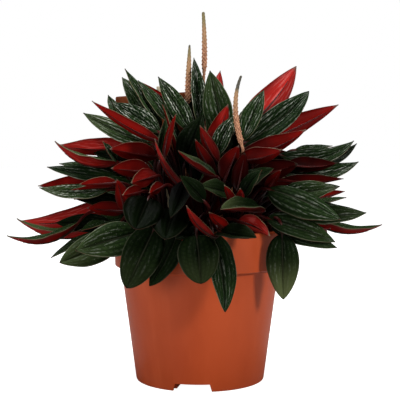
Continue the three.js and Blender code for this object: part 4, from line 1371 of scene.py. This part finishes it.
@dataclass
class Soil:
    """Peat that fills the pot to below the rim, with a crumbly top and bits of bark, in millimetres."""

    top: float = 93.0
    bottom: float = 7.9
    edge: float = 56.5
    rings: int = 26
    steps: int = 132
    bits: int = 170
    bit_margin: float = 3.0
    bit_lift: float = 0.3
    bit_turn: float = 6.0
    bit_size: tuple[float, float] = (0.6, 1.1)
    bit_width: tuple[float, float] = (0.5, 0.5)
    bit_height: tuple[float, float] = (0.35, 0.4)
    seed: int = 31
    smooth: float = 60.0
    relief: tuple[tuple[str, float, float], ...] = (("clods", 9.0, 4.0), ("crumbs", 2.4, 2.4))
    finish: Peat = field(default_factory=Peat)

    def build(self) -> list[Piece]:
        """Builds the soil and its bits.

        Returns:
            The soil, joined with its bits.
        """
        side = [(0, self.bottom), (40.8, self.bottom), (44, self.bottom + 3), (53.1, 79), (self.edge, 84)]
        top = [(self.edge * (1 - i / self.rings), self.top) for i in range(self.rings + 1)]
        soil = spun("soil_peat", side + top, self.steps)
        group = soil.vertex_groups.new(name="top")
        group.add([v.index for v in soil.data.vertices if v.co.z > (self.top - 0.1) * MM], 1.0, "REPLACE")
        lift = {"texture_coords": "LOCAL", "vertex_group": "top", "direction": "Z", "mid_level": 0.5}
        for name, size, strength in self.relief:
            texture = bpy.data.textures.new(name, "CLOUDS")
            texture.noise_scale = size * MM
            modify(soil, "DISPLACE", texture=texture, strength=strength * MM, **lift)
        piece = joined("soil_peat", [soil, *self.crumbs()])
        return [dressed(piece, self.finish.make(), "soil", self.smooth)]

    def crumbs(self) -> list[Piece]:
        """Scatters small lumps of bark over the top, each with its own mesh.

        Returns:
            The lumps.
        """
        draw = Sequence(self.seed).next

        def some(least: float, more: float) -> float:
            """Draws a number from the least to the least and more."""
            return least + more * draw()

        lumps = []
        for _ in range(self.bits):
            radius = (self.edge - self.bit_margin) * math.sqrt(draw())
            angle = FULL_TURN * draw()
            size = some(*self.bit_size) * MM
            height = self.top + self.bit_lift
            place = Vector((radius * math.cos(angle), radius * math.sin(angle), height)) * MM
            deselect()
            bpy.ops.mesh.primitive_ico_sphere_add(subdivisions=1, radius=size, location=place)
            turn = [self.bit_turn * draw() for _ in range(3)]
            squash = (1, some(*self.bit_width), some(*self.bit_height))
            lumps.append(placed_piece("bark", rotation_euler=turn, scale=squash))
        return lumps


def mesh_piece(name: str, verts: np.ndarray, faces: np.ndarray, uv: np.ndarray, shades: dict) -> Piece:
    """Makes a piece of many like quads, which no chain of modelling steps gives in its true shape.

    Args:
        name: the piece's name.
        verts: points in millimetres.
        faces: four point numbers for each face.
        uv: across and along for each point.
        shades: numbers for each point that the finishes read, by name.

    Returns:
        The piece.
    """
    mesh = bpy.data.meshes.new(name)
    mesh.from_pydata((verts * MM).tolist(), [], faces.tolist())
    layer = mesh.uv_layers.new(name="UVMap")
    layer.data.foreach_set("uv", uv[faces.ravel()].astype(np.float32).ravel())
    for shade, values in shades.items():
        mesh.attributes.new(shade, "FLOAT", "POINT").data.foreach_set("value", values.astype(np.float32))
    piece = bpy.data.objects.new(name, mesh)
    bpy.context.scene.collection.objects.link(piece)
    return piece


def grid_faces(rows: int, columns: int, closed: bool = False) -> np.ndarray:
    """Numbers the quads of a grid of points.

    Args:
        rows: rows of points.
        columns: points in a row.
        closed: whether the last column joins the first.

    Returns:
        Four point numbers for each face.
    """
    i, j = np.meshgrid(np.arange(rows - 1), np.arange(columns if closed else columns - 1), indexing="ij")
    k = (j + 1) % columns
    here, above = i * columns, (i + 1) * columns
    return np.stack([here + j, here + k, above + k, above + j], -1).reshape(-1, 4)


def tube(points: np.ndarray, radii: np.ndarray, sides: int, side: np.ndarray) -> Pair:
    """Makes a closed tube through points.

    Args:
        points: the middle line.
        radii: radius at each point, or at each point and side.
        sides: how many points go round.
        side: a direction across the first point's heading.

    Returns:
        The points and the quads. The ends are closed by quads that fold onto the middle.
    """
    ahead = unit(np.gradient(points, axis=0))
    radii = np.broadcast_to(np.asarray(radii, float).reshape(len(points), -1), (len(points), sides))
    turn = np.arange(sides) / sides * FULL_TURN
    rings = [np.repeat(points[:1], sides, 0)]
    for p, a, r in zip(points, ahead, radii):
        side = across(side, a)
        round_about = np.cos(turn)[:, None] * side + np.sin(turn)[:, None] * np.cross(a, side)
        rings.append(p + r[:, None] * round_about)
    rings.append(np.repeat(points[-1:], sides, 0))
    return np.concatenate(rings), grid_faces(len(rings), sides, True)


@dataclass
class Blade:
    """How a leaf's blade is shaped between its lines, in millimetres or as shares of the half width."""

    rows: int = 48
    columns: int = 20
    thick: float = 0.7
    edge_share: float = 0.45
    neck_half: float = 0.9
    tip_half: float = 0.3
    neck_end: float = 0.6
    ribs: float = 3.5
    rib_height: float = 0.13
    rib_end: float = 0.88
    rib_power: float = 0.7
    under_relief: float = 0.15
    least_rib: float = 0.4
    pucker: float = 0.4
    pucker_length: float = 3.6
    pucker_step: float = 2.1
    slant: float = 0.9
    lobe: float = 0.1
    droop: float = 0.16
    droop_in: float = 0.25
    flat_fold: float = 16.0
    wave: float = 0.05
    waves: float = 2.2
    swell: float = 14.0
    phases: float = 6.0
    draws: Sequence = field(default_factory=lambda: Sequence(97))

    def outline(self, t: np.ndarray, fullness: float) -> np.ndarray:
        """Gives the share of the full width along the blade.

        Args:
            t: places from neck to tip.
            fullness: how blunt the ends are, less for blunter.

        Returns:
            One share for each place.
        """
        widest, inside = HABIT.widest, np.clip(t, 1e-9, 1 - 1e-9)
        rise = fullness * widest / (1 - widest)
        return (inside / widest) ** rise * ((1 - inside) / (1 - widest)) ** fullness

    def surface(self, lines: LeafLines, sheen: float) -> tuple[np.ndarray, np.ndarray, np.ndarray]:
        """Lays out the upper side with its ribs, and the smoother underside.

        Args:
            lines: the leaf's lines.
            sheen: the leaf's share of silvery streaks and painted sheen, which its ribs and cross veins go
                with.

        Returns:
            Points of the upper side and of the underside, in rows from neck to tip, and their map.
        """
        leaf = lines.leaf
        t = np.linspace(0, 1, self.rows + 1)
        along = t[:, None]
        v = np.linspace(-1, 1, self.columns + 1)[None, :]
        out = np.abs(v)
        least = self.neck_half + (self.tip_half - self.neck_half) * ramp(t, 0, self.neck_end)
        half = (leaf.width + leaf_look(leaf.name).fuller) / 2
        wide = np.maximum(half * self.outline(t, leaf.fullness), least)[:, None]
        ahead, up = lines.frame_at(t)
        side = np.cross(ahead, up)
        fold = math.radians(leaf.fold)
        swell = (1 - np.exp(-along * self.swell)) * (1 - np.exp((along - 1) * self.swell))
        arches = np.abs(np.sin(math.pi * self.ribs * out)) ** self.rib_power
        fade = 1 - ramp(out, self.rib_end, 1 - self.rib_end) ** 2
        steps = round(lines.length / self.pucker_length)
        phase = self.draws.next() * self.phases
        cross = FULL_TURN * (steps * along - self.slant * out) + phase
        cross = np.sin(cross + np.floor(out * self.ribs) * self.pucker_step)
        rib = self.rib_height * arches * fade * (1 + self.pucker * sheen * cross * arches) * swell
        rib = rib * (self.least_rib + (1 - self.least_rib) * sheen)
        droop = self.droop * out**3 * (leaf.fold < self.flat_fold)
        ripple = self.wave * np.sin(FULL_TURN * self.waves * along + phase) * v**3
        lift = (self.lobe * 4 * out * (1 - out) + ripple) * swell - droop
        sideways = v * wide * math.cos(fold) * (1 - self.droop_in * droop)
        thin = 1 - (1 - self.edge_share) * out**2
        flat = bezier(lines.midrib, t)[:, None, :] + side[:, None, :] * sideways[..., None]
        sides = []
        for relief, depth in ((rib, 0.5), (rib * self.under_relief, -0.5)):
            above = out * wide * math.sin(fold) + (lift + relief) * wide + self.thick * thin * depth
            sides.append((flat + up[:, None, :] * above[..., None]).reshape(-1, 3))
        return *sides, np.stack(np.broadcast_arrays((v + 1) / 2, along), -1).reshape(-1, 2)

    def faces(self) -> Pair:
        """Numbers the faces of both sides and of the edge between them.

        Returns:
            Four point numbers for each face, and each face's layer.
        """
        top = grid_faces(self.rows + 1, self.columns + 1)
        count = (self.rows + 1) * (self.columns + 1)
        number = np.arange(count).reshape(self.rows + 1, self.columns + 1)
        border = np.concatenate([number[0], number[1:, -1], number[-1, -2::-1], number[-2:0:-1, 0]])
        after = np.roll(border, -1)
        edge = np.stack([after, border, border + count, after + count], -1)
        counts = (len(top), len(top), len(edge))
        layers = np.repeat([Layer.UPPER.value, Layer.UNDER.value, Layer.MARGIN.value], counts)
        return np.concatenate([top, top[:, ::-1] + count, edge]), layers


@dataclass
class Foliage:
    """The crowns: short stems with the stalks and blades of their leaves, in millimetres."""

    blade: Blade = field(default_factory=Blade)
    far_blade: Blade = field(default_factory=lambda: Blade(rows=32, columns=16))
    stalk_radius: float = 1.05
    root_radius: float = 1.35
    stalk_steps: int = 14
    keel_steps: int = 9
    keel_end: float = 0.8
    keel_taper: float = 0.8
    keel_out: float = 0.35
    keel_start: float = 0.12
    stalk_sides: int = 8
    stem_radius: float = 4.2
    stem_rise: float = 22.0
    stem_sunk: float = 12.0
    stem_rings: int = 34
    stem_sides: int = 14
    stem_top: float = 5.0
    stem_point: float = 0.55
    knob: float = 0.09
    knob_turn: float = 1.7
    sheen_heights: tuple[float, float] = (108.0, 138.0)
    sheen_depths: tuple[float, float] = (-52.0, -24.0)
    least_sheen: float = 0.12
    most_sheen: float = 0.75
    # How the painted shade of a leaf eases towards its tip.
    tip_light: float = 0.8
    dim_tip_light: float = 0.12
    dim_shade: float = 0.65
    light_from: float = 0.4
    smooth: float = 50.0
    tones: Sequence = field(default_factory=lambda: Sequence(2203))

    def build(self) -> list[Piece]:
        """Builds one piece for each crown.

        Returns:
            The crowns in order.
        """
        layers = [finish().make() for finish in (LeafFace, LeafBack, LeafMargin, StalkSkin)]
        carried: list[list[LeafLines]] = [[] for _ in CROWNS]
        trees = [self.corner_tree(name) for name in CROWNS]
        for leaf in all_leaves():
            found = self.place_of(leaf, trees)
            if found:
                carried[found[0]].append(found[1])
        carried[0] += [LeafLines(seen_leaf("i0", row), 0, 0, 0) for row in DEEP_LEAVES]
        LOG.info("%d leaves stand on the crowns", sum(map(len, carried)))
        return [self.crown(i, lines, layers) for i, lines in enumerate(carried)]

    def corner_tree(self, node: str) -> kdtree.KDTree:
        """Gathers a solid's corners in millimetres, to look places up.

        Args:
            node: the solid's node.

        Returns:
            The corners, ready to be searched.
        """
        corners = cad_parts[node].data.vertices
        tree = kdtree.KDTree(len(corners))
        for i, corner in enumerate(corners):
            tree.insert(corner.co / MM, i)
        tree.balance()
        return tree

    def hits(self, ring: np.ndarray, tree: kdtree.KDTree) -> int:
        """Counts the ring's points that are corners of the solid."""
        return sum(tree.find(p)[2] < HABIT.tolerance for p in ring)

    def place_of(self, leaf: Leaf, trees: list[kdtree.KDTree]) -> tuple[int, LeafLines] | None:
        """Finds which crown carries a leaf, and how it was shifted and lifted, from the solids' corners.

        Args:
            leaf: the leaf.
            trees: each crown's corners.

        Returns:
            The crown's number and the leaf's lines, or None for a leaf that the solids go without.
        """
        most, crown, shift = 1, 0, 0.0
        for trial in HABIT.shifts:
            ring = LeafLines(leaf, trial, 0, 0).tip_ring()
            for number, tree in enumerate(trees):
                count = self.hits(ring, tree)
                if count > most:
                    most, crown, shift = count, number, trial
        if most < 3:
            return None
        ways = [LeafLines(leaf, shift, crown, lift) for lift in HABIT.lifts]
        return crown, max(ways, key=lambda lines: self.hits(lines.stalk_ring(), trees[crown]))

    def crown(self, index: int, carried: list[LeafLines], layers: list[Material]) -> Piece:
        """Builds a crown.

        Args:
            index: its number.
            carried: the lines of its leaves.
            layers: materials in the order of Layer.

        Returns:
            The piece.
        """
        name = CROWNS[index]
        parts = [self.blades(name, carried), self.stalks(index, carried)]
        for piece in parts:
            for layer in layers:
                piece.data.materials.append(layer)
        stalks = parts[1].data.polygons
        stalks.foreach_set("material_index", [Layer.STALK.value] * len(stalks))
        for piece in parts:
            tidy_mesh(piece)
        return dressed(joined(f"foliage_{name}", parts), None, name, self.smooth)

    def blades(self, name: str, carried: list[LeafLines]) -> Piece:
        """Makes a crown's blades, each a closed shell of an upper side, an underside and an edge.

        Args:
            name: the crown's name.
            carried: the lines of its leaves.

        Returns:
            The piece.
        """
        verts, faces, layers, uvs, first = [], [], [], [], 0
        shades = {"leaf_tone": [], "leaf_sheen": [], "leaf_shade": [], "leaf_pale": []}
        for lines in carried:
            blade = self.blade if lines.leaf.seen else self.far_blade
            look, sheen = leaf_look(lines.leaf.name), self.sheen_of(lines)
            upper, under, uv = blade.surface(lines, sheen)
            sheet, layer = blade.faces()
            verts += [upper, under]
            uvs += [uv, uv]
            faces.append(sheet + first)
            layers.append(layer)
            # Painted shade of each leaf from its look, eased towards the tip; the last share is the olive tip
            # above and painted light below.
            lit = self.tip_light if look.shade < self.dim_shade else self.dim_tip_light
            shade = look.shade * (1 - lit * ramp(uv[:, 1], self.light_from, 1 - self.light_from))
            for values, value in zip(shades.values(), (self.tones.next(), sheen, shade, look.pale)):
                values.append(np.tile(np.broadcast_to(value, len(upper)), 2))
            first += 2 * len(upper)
        shades = {shade: np.concatenate(values) for shade, values in shades.items()}
        piece = mesh_piece(name + "_blades", *map(np.concatenate, (verts, faces, uvs)), shades)
        piece.data.polygons.foreach_set("material_index", np.concatenate(layers).astype(np.int32))
        return piece

    def sheen_of(self, lines: LeafLines) -> float:
        """Gives the share of silvery streaks and painted sheen and glints on a leaf, least on the broad ones
        that hang low or over the rim.

        Args:
            lines: the leaf's lines.

        Returns:
            The share.
        """
        own = leaf_look(lines.leaf.name).sheen
        if own is not None:
            return own
        _, depth, height = lines.midrib[0]
        low, high = self.sheen_heights
        near, far = self.sheen_depths
        share = min((height - low) / (high - low), 1) * min((depth - near) / (far - near), 1)
        return max(share * self.most_sheen if depth > near else 0, self.least_sheen)

    def stalks(self, index: int, carried: list[LeafLines]) -> Piece:
        """Makes a crown's stem, its leaf stalks and the keels that they run into under the blades.

        Args:
            index: the crown's number.
            carried: the lines of its leaves.

        Returns:
            The piece.
        """
        x, y = STEMS[index]
        number = self.stem_rings
        low, high = HABIT.soil_top - self.stem_sunk, HABIT.soil_top + self.stem_rise
        heights = np.linspace(low, high, number)
        knobs = 1 + self.knob * np.sin(np.arange(number) * self.knob_turn)
        knobs = knobs - self.stem_point * ramp(heights, high - self.stem_top, self.stem_top) ** 2
        line = np.stack([np.full(number, x), np.full(number, y), heights], -1)
        parts, tones = [tube(line, self.stem_radius * knobs, self.stem_sides, SIDEWAYS)], [0.5]
        for lines in carried:
            parts.append(self.stalk(lines))
            tones.append(self.tones.next())
        counts = [len(points) for points, _ in parts]
        first = np.cumsum([0] + counts[:-1])
        faces = np.concatenate([quads + k for (_, quads), k in zip(parts, first)])
        tone = np.repeat(tones, counts)
        shades = {"leaf_tone": tone, "leaf_sheen": tone * 0, "leaf_shade": tone * 0, "leaf_pale": tone * 0}
        verts = np.concatenate([points for points, _ in parts])
        return mesh_piece(CROWNS[index] + "_stalks", verts, faces, np.full((len(verts), 2), 0.5), shades)

    def stalk(self, lines: LeafLines) -> Pair:
        """Makes one stalk, which goes on as a tapering keel under the midrib.

        Args:
            lines: the leaf's lines.

        Returns:
            Its points and quads.
        """
        t = np.linspace(0, 1, self.stalk_steps + 1)
        k = np.linspace(0, self.keel_end, self.keel_steps + 1)[1:]
        taper = self.stalk_radius * (1 - self.keel_taper * k / self.keel_end)
        sink = (self.blade.thick / 2 + self.keel_out * taper) * ramp(k, 0, self.keel_start)
        keel = bezier(lines.midrib, k) - lines.frame_at(k)[1] * sink[:, None]
        radii = self.stalk_radius + (self.root_radius - self.stalk_radius) * (1 - t) ** 3
        side = unit(np.cross(lines.face, heading(lines.stalk, 0.0)[0]))
        line = np.concatenate([bezier(lines.stalk, t), keel])
        return tube(line, np.concatenate([radii, taper]), self.stalk_sides, side)


@dataclass(frozen=True)
class Spike:
    """One flower spike: its stalk's foot, then points up the spike as x, z seen from the front and depth.

    Then come its radius, the share of it at the tip, and the shares of the length where it is full and dark.
    """

    name: str
    foot: tuple[float, float]
    body: tuple[Place, ...]
    radius: float
    point: float
    neck: float
    dark_from: float


@dataclass
class FlowerSpikes:
    """Slim granular spikes on thin stalks, in millimetres."""

    spikes: tuple[Spike, ...] = (
        Spike(
            "flower_spike_tall", (6, 13.5), ((2.5, 207, 24), (3.1, 225, 25), (2.2, 255, 26)),
            radius=1.78, point=0.58, neck=0.24, dark_from=0.955,
        ),
        Spike(
            "flower_spike_left", (-11, 12), ((-8.4, 187, 15), (-8, 206, 16), (-7.2, 232.5, 17)),
            radius=2.15, point=0.28, neck=0.1, dark_from=0.92,
        ),
        Spike(
            "flower_spike_curved", (11, -10),
            ((29.6, 161.5, -26), (25.3, 180.5, -24), (24.8, 195, -23), (28.6, 211.3, -22)),
            radius=1.7, point=0.45, neck=0.1, dark_from=0.76,
        ),
    )
    stalk_radius: float = 1.1
    stalk_steps: int = 26
    stalk_end: float = 0.97
    sunk: float = 11.0
    collar: float = 3.0
    lift: float = 24.0
    run_in: float = 0.9
    granule: float = 2.7
    granules_round: int = 5
    first_share: float = 0.1
    least_share: float = 0.5
    end_from: float = 0.985
    end_drop: float = 0.6
    relief: float = 0.26
    plain_from: float = 0.55
    plain_over: float = 0.25
    plain_most: float = 0.8
    uneven: float = 0.25
    uneven_up: float = 1.3
    uneven_round: int = 3
    stalk_grain: float = 0.15
    darkening: float = 0.07
    sides: int = 30
    step: float = 0.27
    smooth: float = 60.0
    finish: SpikeSkin = field(default_factory=SpikeSkin)

    def build(self) -> list[Piece]:
        """Builds the three spikes."""
        skin = self.finish.make()
        return [self.spike(spike, skin) for spike in self.spikes]

    def line_of(self, spike: Spike) -> Pair:
        """Runs a spike's middle line: first the stalk with its sunk foot, then the body.

        Args:
            spike: the spike.

        Returns:
            The stalk's points and the body's.
        """
        body = [placed(*p) for p in spike.body]
        low, foot, above = (
            np.array([*spike.foot, HABIT.soil_top + up]) for up in (-self.sunk, self.collar, self.lift)
        )
        below = body[0] - (body[1] - body[0]) * self.run_in
        stalk = bezier([foot, above, below, body[0]], np.linspace(0, self.stalk_end, self.stalk_steps))
        return np.concatenate([[low], stalk]), smooth_line(body, self.step)

    def spike(self, spike: Spike, skin: Material) -> Piece:
        """Builds one spike with its stalk.

        Args:
            spike: where it stands and how thick it is.
            skin: its material.

        Returns:
            The piece.
        """
        stalk, line = self.line_of(spike)
        t = np.linspace(0, 1, len(line))
        start = np.clip(self.first_share + (1 - self.first_share) * t / spike.neck, self.least_share, 1)
        end = 1 - ramp(t, self.end_from, 1 - self.end_from) ** 2 * self.end_drop
        radii = spike.radius * start * (1 - (1 - spike.point) * t**3) * end
        turn = np.arange(self.sides)[None, :] / self.sides * FULL_TURN
        far = (np.arange(len(line)) * self.step)[:, None]
        lumps = np.cos(self.granules_round * turn) * np.cos(FULL_TURN * far / self.granule)
        uneven = 1 + self.uneven * np.sin(far * self.uneven_up + self.uneven_round * turn)
        plain = self.plain_most * ramp(t, self.plain_from, self.plain_over)
        swell = self.relief * lumps * uneven * (1 - plain)[:, None]
        below = np.full((len(stalk), self.sides), self.stalk_radius)
        all_radii = np.concatenate([below, radii[:, None] * (1 + swell)])
        verts, faces = tube(np.concatenate([stalk, line]), all_radii, self.sides, SIDEWAYS)
        low = np.full((len(stalk) + 1, self.sides), self.stalk_grain)
        grain = np.concatenate([low, 0.5 + 0.5 * lumps, lumps[-1:] * 0])
        up = np.repeat(np.concatenate([np.zeros(len(stalk) + 1), t, [1]]), self.sides)
        dark = ramp(up, spike.dark_from, self.darkening)
        shades = {"granule": grain.ravel(), "up_spike": up, "dark_tip": dark}
        piece = mesh_piece(spike.name + "_grains", verts, faces, np.zeros((len(verts), 2)), shades)
        tidy_mesh(piece)
        return dressed(piece, skin, spike.name, self.smooth)


def smooth_line(points: list[np.ndarray], step: float) -> np.ndarray:
    """Runs a smooth line through points.

    Args:
        points: the points.
        step: distance between the line's own points.

    Returns:
        The line, through the first and last of the points.
    """
    p = np.array(points)
    far = np.concatenate([[0], np.cumsum(np.linalg.norm(np.diff(p, axis=0), axis=1))])
    t = np.linspace(0, far[-1], max(int(far[-1] / step), 2))
    return np.stack([np.polyval(np.polyfit(far, p[:, k], min(len(p) - 1, 3)), t) for k in range(3)], -1)


@dataclass
class Label:
    """Bare brown card on a flat cream stake, turned to face the front, in millimetres."""

    card_place: Place = (-34.7, 37.6, 199.7)
    card_width: float = 54.0
    card_height: float = 62.0
    card_thick: float = 0.6
    card_tilt: float = -0.066
    card_edge: float = 0.12
    columns: int = 18
    rows: int = 12
    corner: float = 1.4
    curl: float = 0.9
    curl_middle: float = 0.4
    curl_top: float = 0.4
    stake_x: float = -26.8
    stake_y: float = 39.4
    stake_width: float = 9.8
    stake_thick: float = 1.2
    stake_edge: float = 0.25
    stake_top: float = 205.5
    stake_bottom: float = 72.0
    stake_point: float = 9.0
    point_size: Place = (0.12, 0.7, 1.0)
    rib: tuple[float, float] = (1.4, 0.9)
    rib_out: float = 0.6
    rib_up: float = 6.0
    rib_less: float = 30.0
    smooth: float = 40.0

    def build(self) -> list[Piece]:
        """Builds the card and the stake."""
        return [self.card(), self.stake()]

    def card(self) -> Piece:
        """Builds the card: a sheet with rounded corners, a slight curl and a real thickness.

        Returns:
            The piece.
        """
        deselect()
        bpy.ops.mesh.primitive_plane_add(size=MM)
        size, middle = (self.card_width, self.card_height, 1), (0, -self.card_height / 2 * MM, 0)
        card = placed_piece("label_card_sheet", scale=size, location=middle)
        edit_all(card)
        bpy.ops.mesh.bevel(affect="VERTICES", offset=self.corner * MM, segments=5)
        for k in range(1, self.columns):
            self.slice(card, ((k / self.columns - 0.5) * self.card_width * MM, 0, 0), (1, 0, 0))
        for k in range(1, self.rows):
            self.slice(card, (0, -k / self.rows * self.card_height * MM, 0), (0, 1, 0))
        mode("OBJECT")
        for vertex in card.data.vertices:
            bow = (vertex.co.x / (self.card_width / 2 * MM)) ** 2 - self.curl_middle
            down = -vertex.co.y / (self.card_height * MM)
            vertex.co.z = -self.curl * MM * bow * (self.curl_top + (1 - self.curl_top) * down)
        modify(card, "SOLIDIFY", thickness=self.card_thick * MM, offset=0)
        modify(card, "BEVEL", width=self.card_edge * MM, segments=2, limit_method="ANGLE")
        pick(card)
        place = [v * MM for v in self.card_place]
        placed_piece(card.name, rotation_euler=(math.pi / 2, self.card_tilt, 0), location=place)
        tidy_mesh(card)
        return dressed(card, CardCoat().make(), "label_card", self.smooth)

    def slice(self, piece: Piece, place: Place, normal: Place) -> None:
        """Cuts a line of points across all of a piece at a place in metres, without parting it."""
        edit_all(piece)
        bpy.ops.mesh.bisect(plane_co=place, plane_no=normal)

    def stake(self) -> Piece:
        """Builds the stake: a flat strip with a point below, a raised rib and bevelled edges.

        Returns:
            The piece.
        """
        height = self.stake_top - self.stake_bottom
        middle = (self.stake_x, self.stake_y, (self.stake_top + self.stake_bottom) / 2)
        stake = block("label_stake_strip", (self.stake_width, self.stake_thick, height), middle)
        self.slice(stake, (0, 0, (self.stake_bottom + self.stake_point) * MM), (0, 0, 1))
        edit_some(stake, "vertices", lambda v: v.co.z < (self.stake_bottom + 1) * MM)
        centre = (self.stake_x * MM, self.stake_y * MM, self.stake_bottom * MM)
        bpy.ops.transform.resize(value=self.point_size, center_override=centre)
        place = (self.stake_x, self.stake_y + self.rib_out, middle[2] + self.rib_up)
        rib = block("rib", (*self.rib, height - self.rib_less), place)
        combine(stake, rib, "UNION")
        modify(stake, "BEVEL", width=self.stake_edge * MM, segments=3, limit_method="ANGLE")
        tidy_mesh(stake)
        return dressed(stake, StakePlastic().make(), "label_stake", self.smooth)


class Aim(Enum):
    """Studio lights by their job: place in metres, size in metres and power in watts."""

    KEY = ((1.02, -0.84, 0.7), 0.26, 14.0)
    FILL = ((-0.85, -0.98, 0.34), 0.9, 11.0)
    TOP = ((-0.15, 0.15, 1.2), 0.5, 16.0)


@dataclass
class Studio:
    """Plain white floor, soft lights and the camera at the photograph's viewing angle."""

    camera_place: Place = (0.0, -0.740, 0.174)
    look_drop: float = 49 / 740
    focal_pixels: float = 1063.0
    frame_pixels: float = 400.0
    sensor: float = 36.0
    target: Place = (0.0, 0.0, 0.12)
    daylight: float = 0.05
    floor_size: Place = (8000.0, 8000.0, 4.0)
    floor_place: Place = (0.0, 0.0, -2.02)

    def build(self) -> None:
        """Builds the studio: the floor, the camera, daylight and the lights."""
        floor = block("floor_sheet", self.floor_size, self.floor_place)
        floor.data.materials.append(FloorPaper().make())
        self.camera()
        self.world()
        for aim in Aim:
            self.light(aim)

    def hung(self, name: str, data: bpy.types.ID, place: Place, turn: Place) -> Piece:
        """Puts a camera or a lamp in its place.

        Args:
            name: its name.
            data: the camera or lamp.
            place: its place in metres.
            turn: its turn.

        Returns:
            The object.
        """
        made = bpy.data.objects.new(name, data)
        made.location, made.rotation_euler = place, turn
        bpy.context.scene.collection.objects.link(made)
        return made

    def camera(self) -> None:
        """Sets the camera."""
        data = bpy.data.cameras.new("photo_camera")
        data.sensor_width = self.sensor
        data.lens = self.focal_pixels * self.sensor / self.frame_pixels
        turn = (math.pi / 2 - math.atan(self.look_drop), 0, 0)
        bpy.context.scene.camera = self.hung("photo_camera", data, self.camera_place, turn)

    def world(self) -> None:
        """Sets soft daylight all round, with a white backdrop behind."""
        world = bpy.data.worlds.new("studio_world")
        world.use_nodes = True
        nodes, link = world.node_tree.nodes, world.node_tree.links.new
        light, seen = nodes["Background"], nodes.new("ShaderNodeBackground")
        for background, strength in ((light, self.daylight), (seen, 1.0)):
            background.inputs["Color"].default_value = (1, 1, 1, 1)
            background.inputs["Strength"].default_value = strength
        either = nodes.new("ShaderNodeMixShader")
        link(nodes.new("ShaderNodeLightPath").outputs["Is Camera Ray"], either.inputs[0])
        link(light.outputs[0], either.inputs[1])
        link(seen.outputs[0], either.inputs[2])
        link(either.outputs[0], nodes["World Output"].inputs[0])
        bpy.context.scene.world = world
        bpy.context.scene.view_settings.view_transform = "Standard"

    def light(self, aim: Aim) -> None:
        """Hangs one soft light and turns it to the plant.

        Args:
            aim: which light.
        """
        place, size, power = aim.value
        data = bpy.data.lights.new(f"light_{aim.name.lower()}", "AREA")
        data.size, data.energy = size, power
        turn = (Vector(self.target) - Vector(place)).to_track_quat("-Z", "Y").to_euler()
        self.hung(data.name, data, place, turn)


def main() -> None:
    """Builds the plant's pieces in order, then the studio."""
    logging.basicConfig(level=logging.INFO, format="%(message)s")
    for maker in (NurseryPot(), Soil(), Foliage(), FlowerSpikes(), Label()):
        for piece in maker.build():
            LOG.info("built %s", piece.name)
    Studio().build()


if __name__ == "__main__":
    main()
